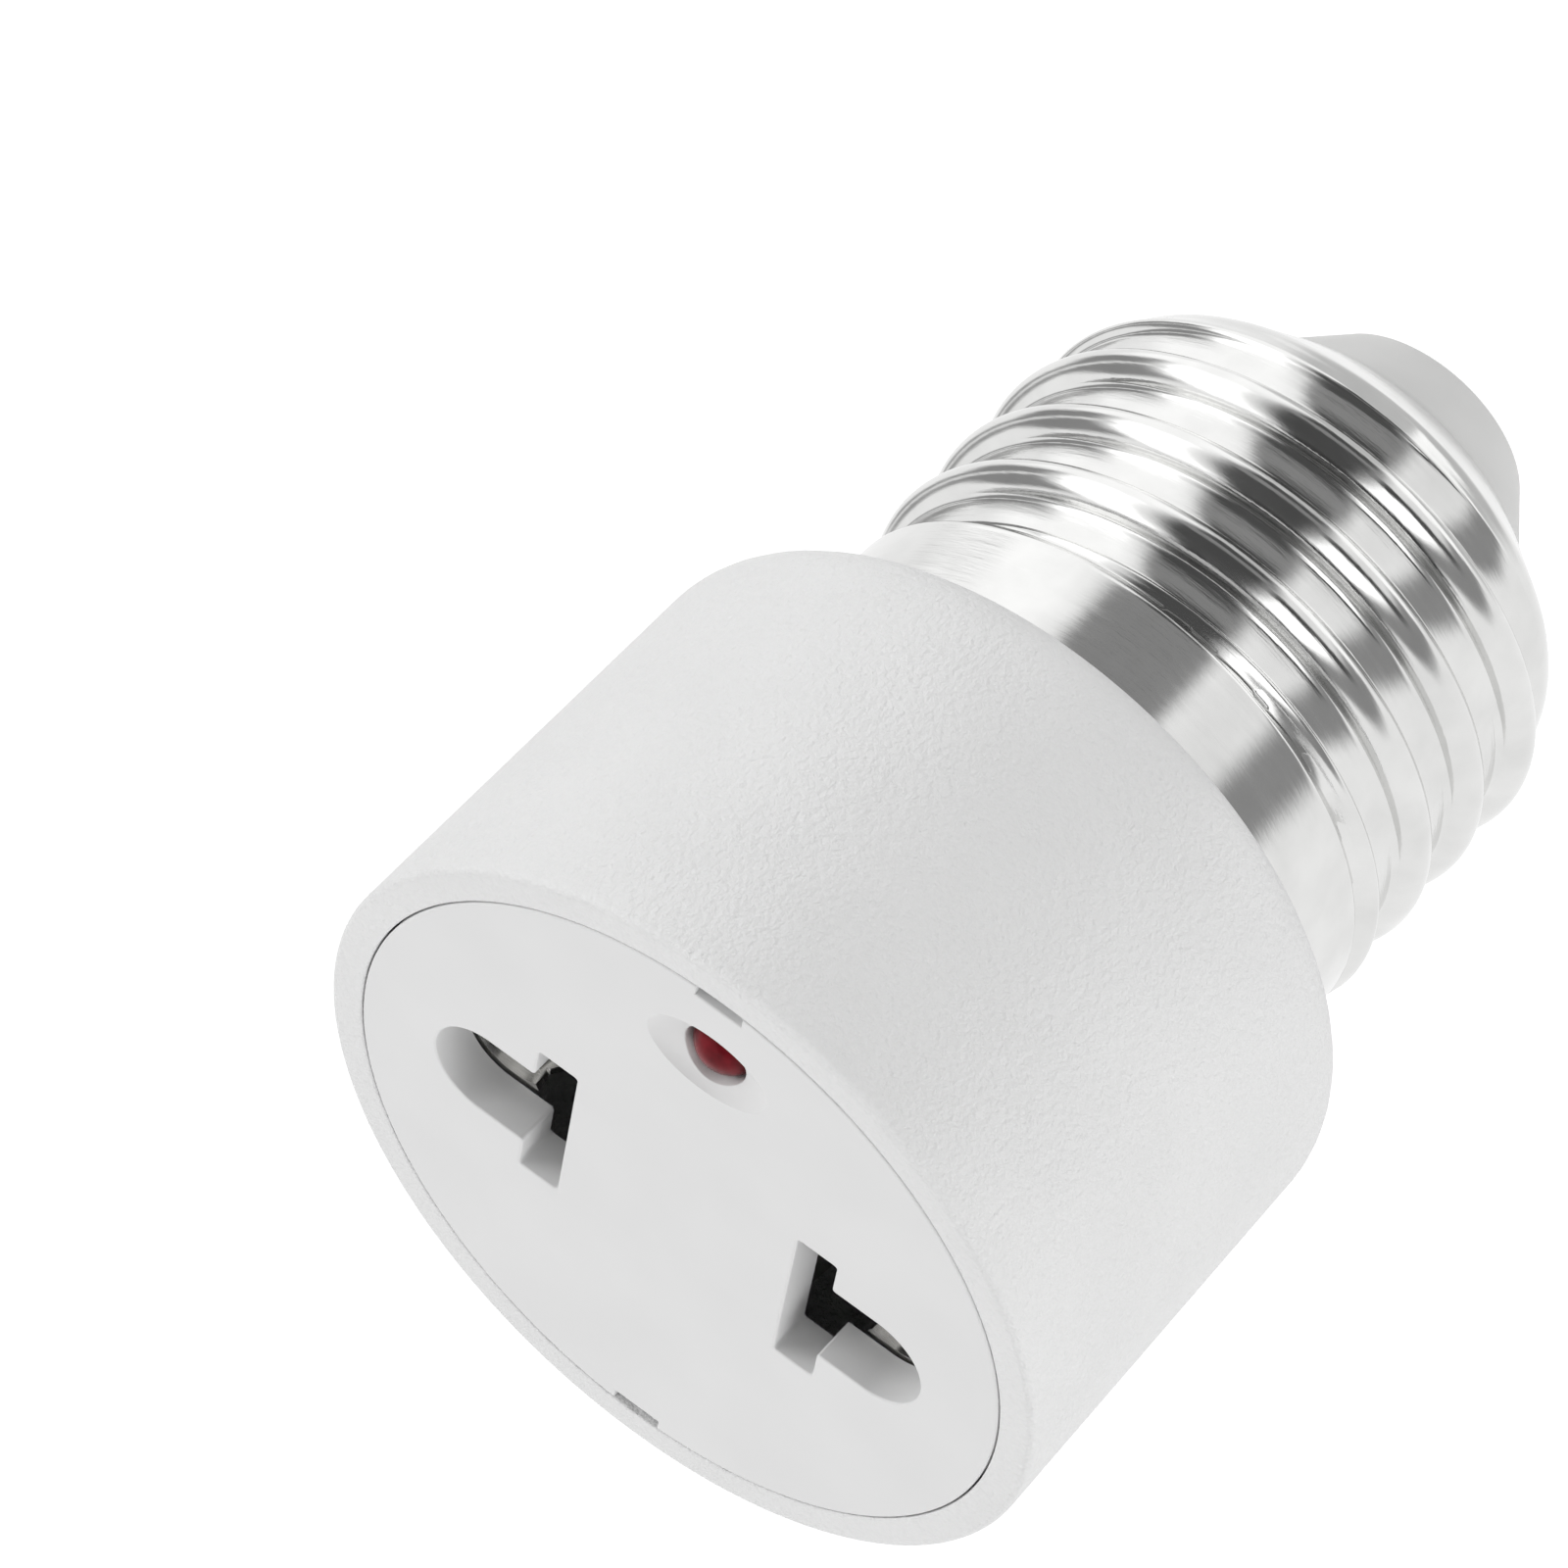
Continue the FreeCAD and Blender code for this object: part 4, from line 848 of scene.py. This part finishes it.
# Soft lamps as (place in metres, size, power): one on either side of the camera, one over the face, one
# below the face's level that lights the side but not the slots, and a weak one at the back
LAMPS = {
    "left_lamp": ((-0.7, 0.22, 0.42), 0.5, 3.9),
    "right_lamp": ((0.74, -0.1, 0.3), 0.5, 3.1),
    "face_lamp": ((0.02, -0.15, 0.85), 0.3, 0.8),
    "side_lamp": ((0.16, 0.78, -0.16), 0.22, 1.9),
    "back_lamp": ((-0.1, -0.8, 0.0), 0.5, 1.8),
}
LAMP_AIM = (0, 0, 0.03)


def make_camera():
    """The photograph's viewpoint, with a long lens."""
    data = bpy.data.cameras.new("camera")
    data.lens = CAMERA_LENS
    data.sensor_width = SENSOR
    data.clip_start = 0.01
    camera = bpy.data.objects.new("camera", data)
    right, up = Vector(CAMERA_RIGHT).normalized(), Vector(CAMERA_UP).normalized()
    back = right.cross(up)
    turn = Matrix((right, up, back)).transposed()
    camera.matrix_world = Matrix.Translation(Vector(CAMERA_PLACE) * MM) @ turn.to_4x4()
    bpy.context.scene.collection.objects.link(camera)
    bpy.context.scene.camera = camera


def seen_directly(tree):
    """1 for the rays that show a background: camera, mirror and see-through rays. 0 for the rest."""
    path = tree.nodes.new("ShaderNodeLightPath")
    either = add(tree, "ShaderNodeMath", {"operation": "MAXIMUM"}, {
        0: path.outputs["Is Camera Ray"], 1: path.outputs["Is Glossy Ray"]})
    return add(tree, "ShaderNodeMath", {"operation": "MAXIMUM"}, {
        0: either.outputs[0], 1: path.outputs["Is Transmission Ray"]}).outputs[0]


def empty_material(name):
    """A material without nodes, with its tree."""
    material = bpy.data.materials.new(name)
    material.use_nodes = True
    material.node_tree.nodes.clear()
    return material, material.node_tree


def white_floor():
    """A matt white floor that takes the object's shadow. The eye and mirrors see it lifted up to white."""
    material, tree = empty_material("white_floor")
    diffuse = add(tree, "ShaderNodeBsdfDiffuse", inputs={"Color": colour("#F4F4F4")})
    lift = add(tree, "ShaderNodeMath", {"operation": "MULTIPLY"}, {0: seen_directly(tree), 1: FLOOR_LIFT})
    white = add(tree, "ShaderNodeEmission", inputs={"Color": (1, 1, 1, 1), "Strength": lift.outputs[0]})
    both = add(tree, "ShaderNodeAddShader", inputs={0: diffuse.outputs[0], 1: white.outputs[0]})
    add(tree, "ShaderNodeOutputMaterial", inputs={"Surface": both.outputs[0]})
    return material


def tent_cloth():
    """The tent's glow, as bright as each point's level says."""
    material, tree = empty_material("tent_cloth")
    shade = add(tree, "ShaderNodeAttribute", {"attribute_name": "level"})
    light = add(tree, "ShaderNodeEmission", inputs={"Strength": shade.outputs["Fac"]})
    add(tree, "ShaderNodeOutputMaterial", inputs={"Surface": light.outputs[0]})
    return material


def stage_piece(name, points, material):
    """A sheet of the studio, from a rows by columns grid in metres."""
    mesh = bpy.data.meshes.new(name)
    mesh.from_pydata(points.reshape(-1, 3), [], quads(*points.shape[:2]).tolist())
    mesh.materials.append(material)
    item = bpy.data.objects.new(name, mesh)
    bpy.context.scene.collection.objects.link(item)
    return item


def within(angle, span, soft):
    """1 inside a span of degrees, 0 outside it, with a smooth step over the soft width at both ends."""
    low = (angle - span[0]) / soft + 0.5
    high = (span[1] - angle) / soft + 0.5
    return smooth_step(np.minimum(low, high))


def make_tent():
    """A ball-shaped tent that only mirrors see: white, with the studio's darker and brighter parts on it."""
    azimuth, elevation = np.meshgrid(np.linspace(-90, 270, 181), np.linspace(-90, 90, 91))
    turn, lift = np.radians(azimuth), np.radians(elevation)
    ball = np.stack([np.cos(lift) * np.cos(turn), np.cos(lift) * np.sin(turn), np.sin(lift)], axis=-1)
    level = np.full(azimuth.shape, TENT_LEVEL)
    for azimuths, elevations, soft, strength in STUDIO.values():
        share = within(azimuth, azimuths, soft) * within(elevation, elevations, soft)
        level = level * (1 - share) + strength * share
    middle = [0, 0, CAP_LENGTH / 2 * MM]
    tent = stage_piece("tent", ball * TENT_RADIUS + middle, tent_cloth())
    tent.data.attributes.new("level", "FLOAT", "POINT")
    tent.data.attributes["level"].data.foreach_set("value", level.ravel().astype(np.float32))
    for ray in ("camera", "diffuse", "transmission", "volume_scatter", "shadow"):
        setattr(tent, "visible_" + ray, False)


def make_world():
    """Soft light from all round, behind which the eye and mirrors see white."""
    world = bpy.data.worlds.new("studio")
    bpy.context.scene.world = world
    world.use_nodes = True
    tree = world.node_tree
    soft = tree.nodes["Background"]
    soft.inputs["Color"].default_value = (1, 1, 1, 1)
    soft.inputs["Strength"].default_value = WORLD_LEVEL
    white = add(tree, "ShaderNodeBackground", inputs={"Color": (1, 1, 1, 1), "Strength": 1.0})
    mix = add(tree, "ShaderNodeMixShader", inputs={
        0: seen_directly(tree), 1: soft.outputs[0], 2: white.outputs[0]})
    tree.links.new(mix.outputs[0], tree.nodes["World Output"].inputs["Surface"])


def make_stage():
    """A white floor well below the adapter, the tent that the metal mirrors, the world and the lamps."""
    side = np.array([-FLOOR_HALF, FLOOR_HALF])
    x, y = np.meshgrid(side, side)
    stage_piece("floor", np.dstack([x, y, np.full_like(x, FLOOR)]), white_floor())
    make_tent()
    make_world()
    for name, (place, size, power) in LAMPS.items():
        data = bpy.data.lights.new(name, "AREA")
        data.size = size
        data.energy = power
        lamp = bpy.data.objects.new(name, data)
        lamp.location = place
        lamp.rotation_euler = (Vector(LAMP_AIM) - Vector(place)).to_track_quat("-Z", "Y").to_euler()
        lamp.visible_glossy = False
        bpy.context.scene.collection.objects.link(lamp)


# The whole scene

make_housing()
make_plate()
make_shell()
make_tip()
make_button()
make_lamp()
make_contact("contact_right")
make_contact("contact_left")
slot_of = {entry["node"]: entry["material_slot"] for entry in frame["record"]["subparts"]}
for node, item in frame["nodes"].items():
    if slot_of[node] in INNER_FINISHES:
        for holder in item.material_slots:
            holder.material = INNER_FINISHES[slot_of[node]]
make_camera()
make_stage()
bpy.context.scene.view_settings.view_transform = "Standard"
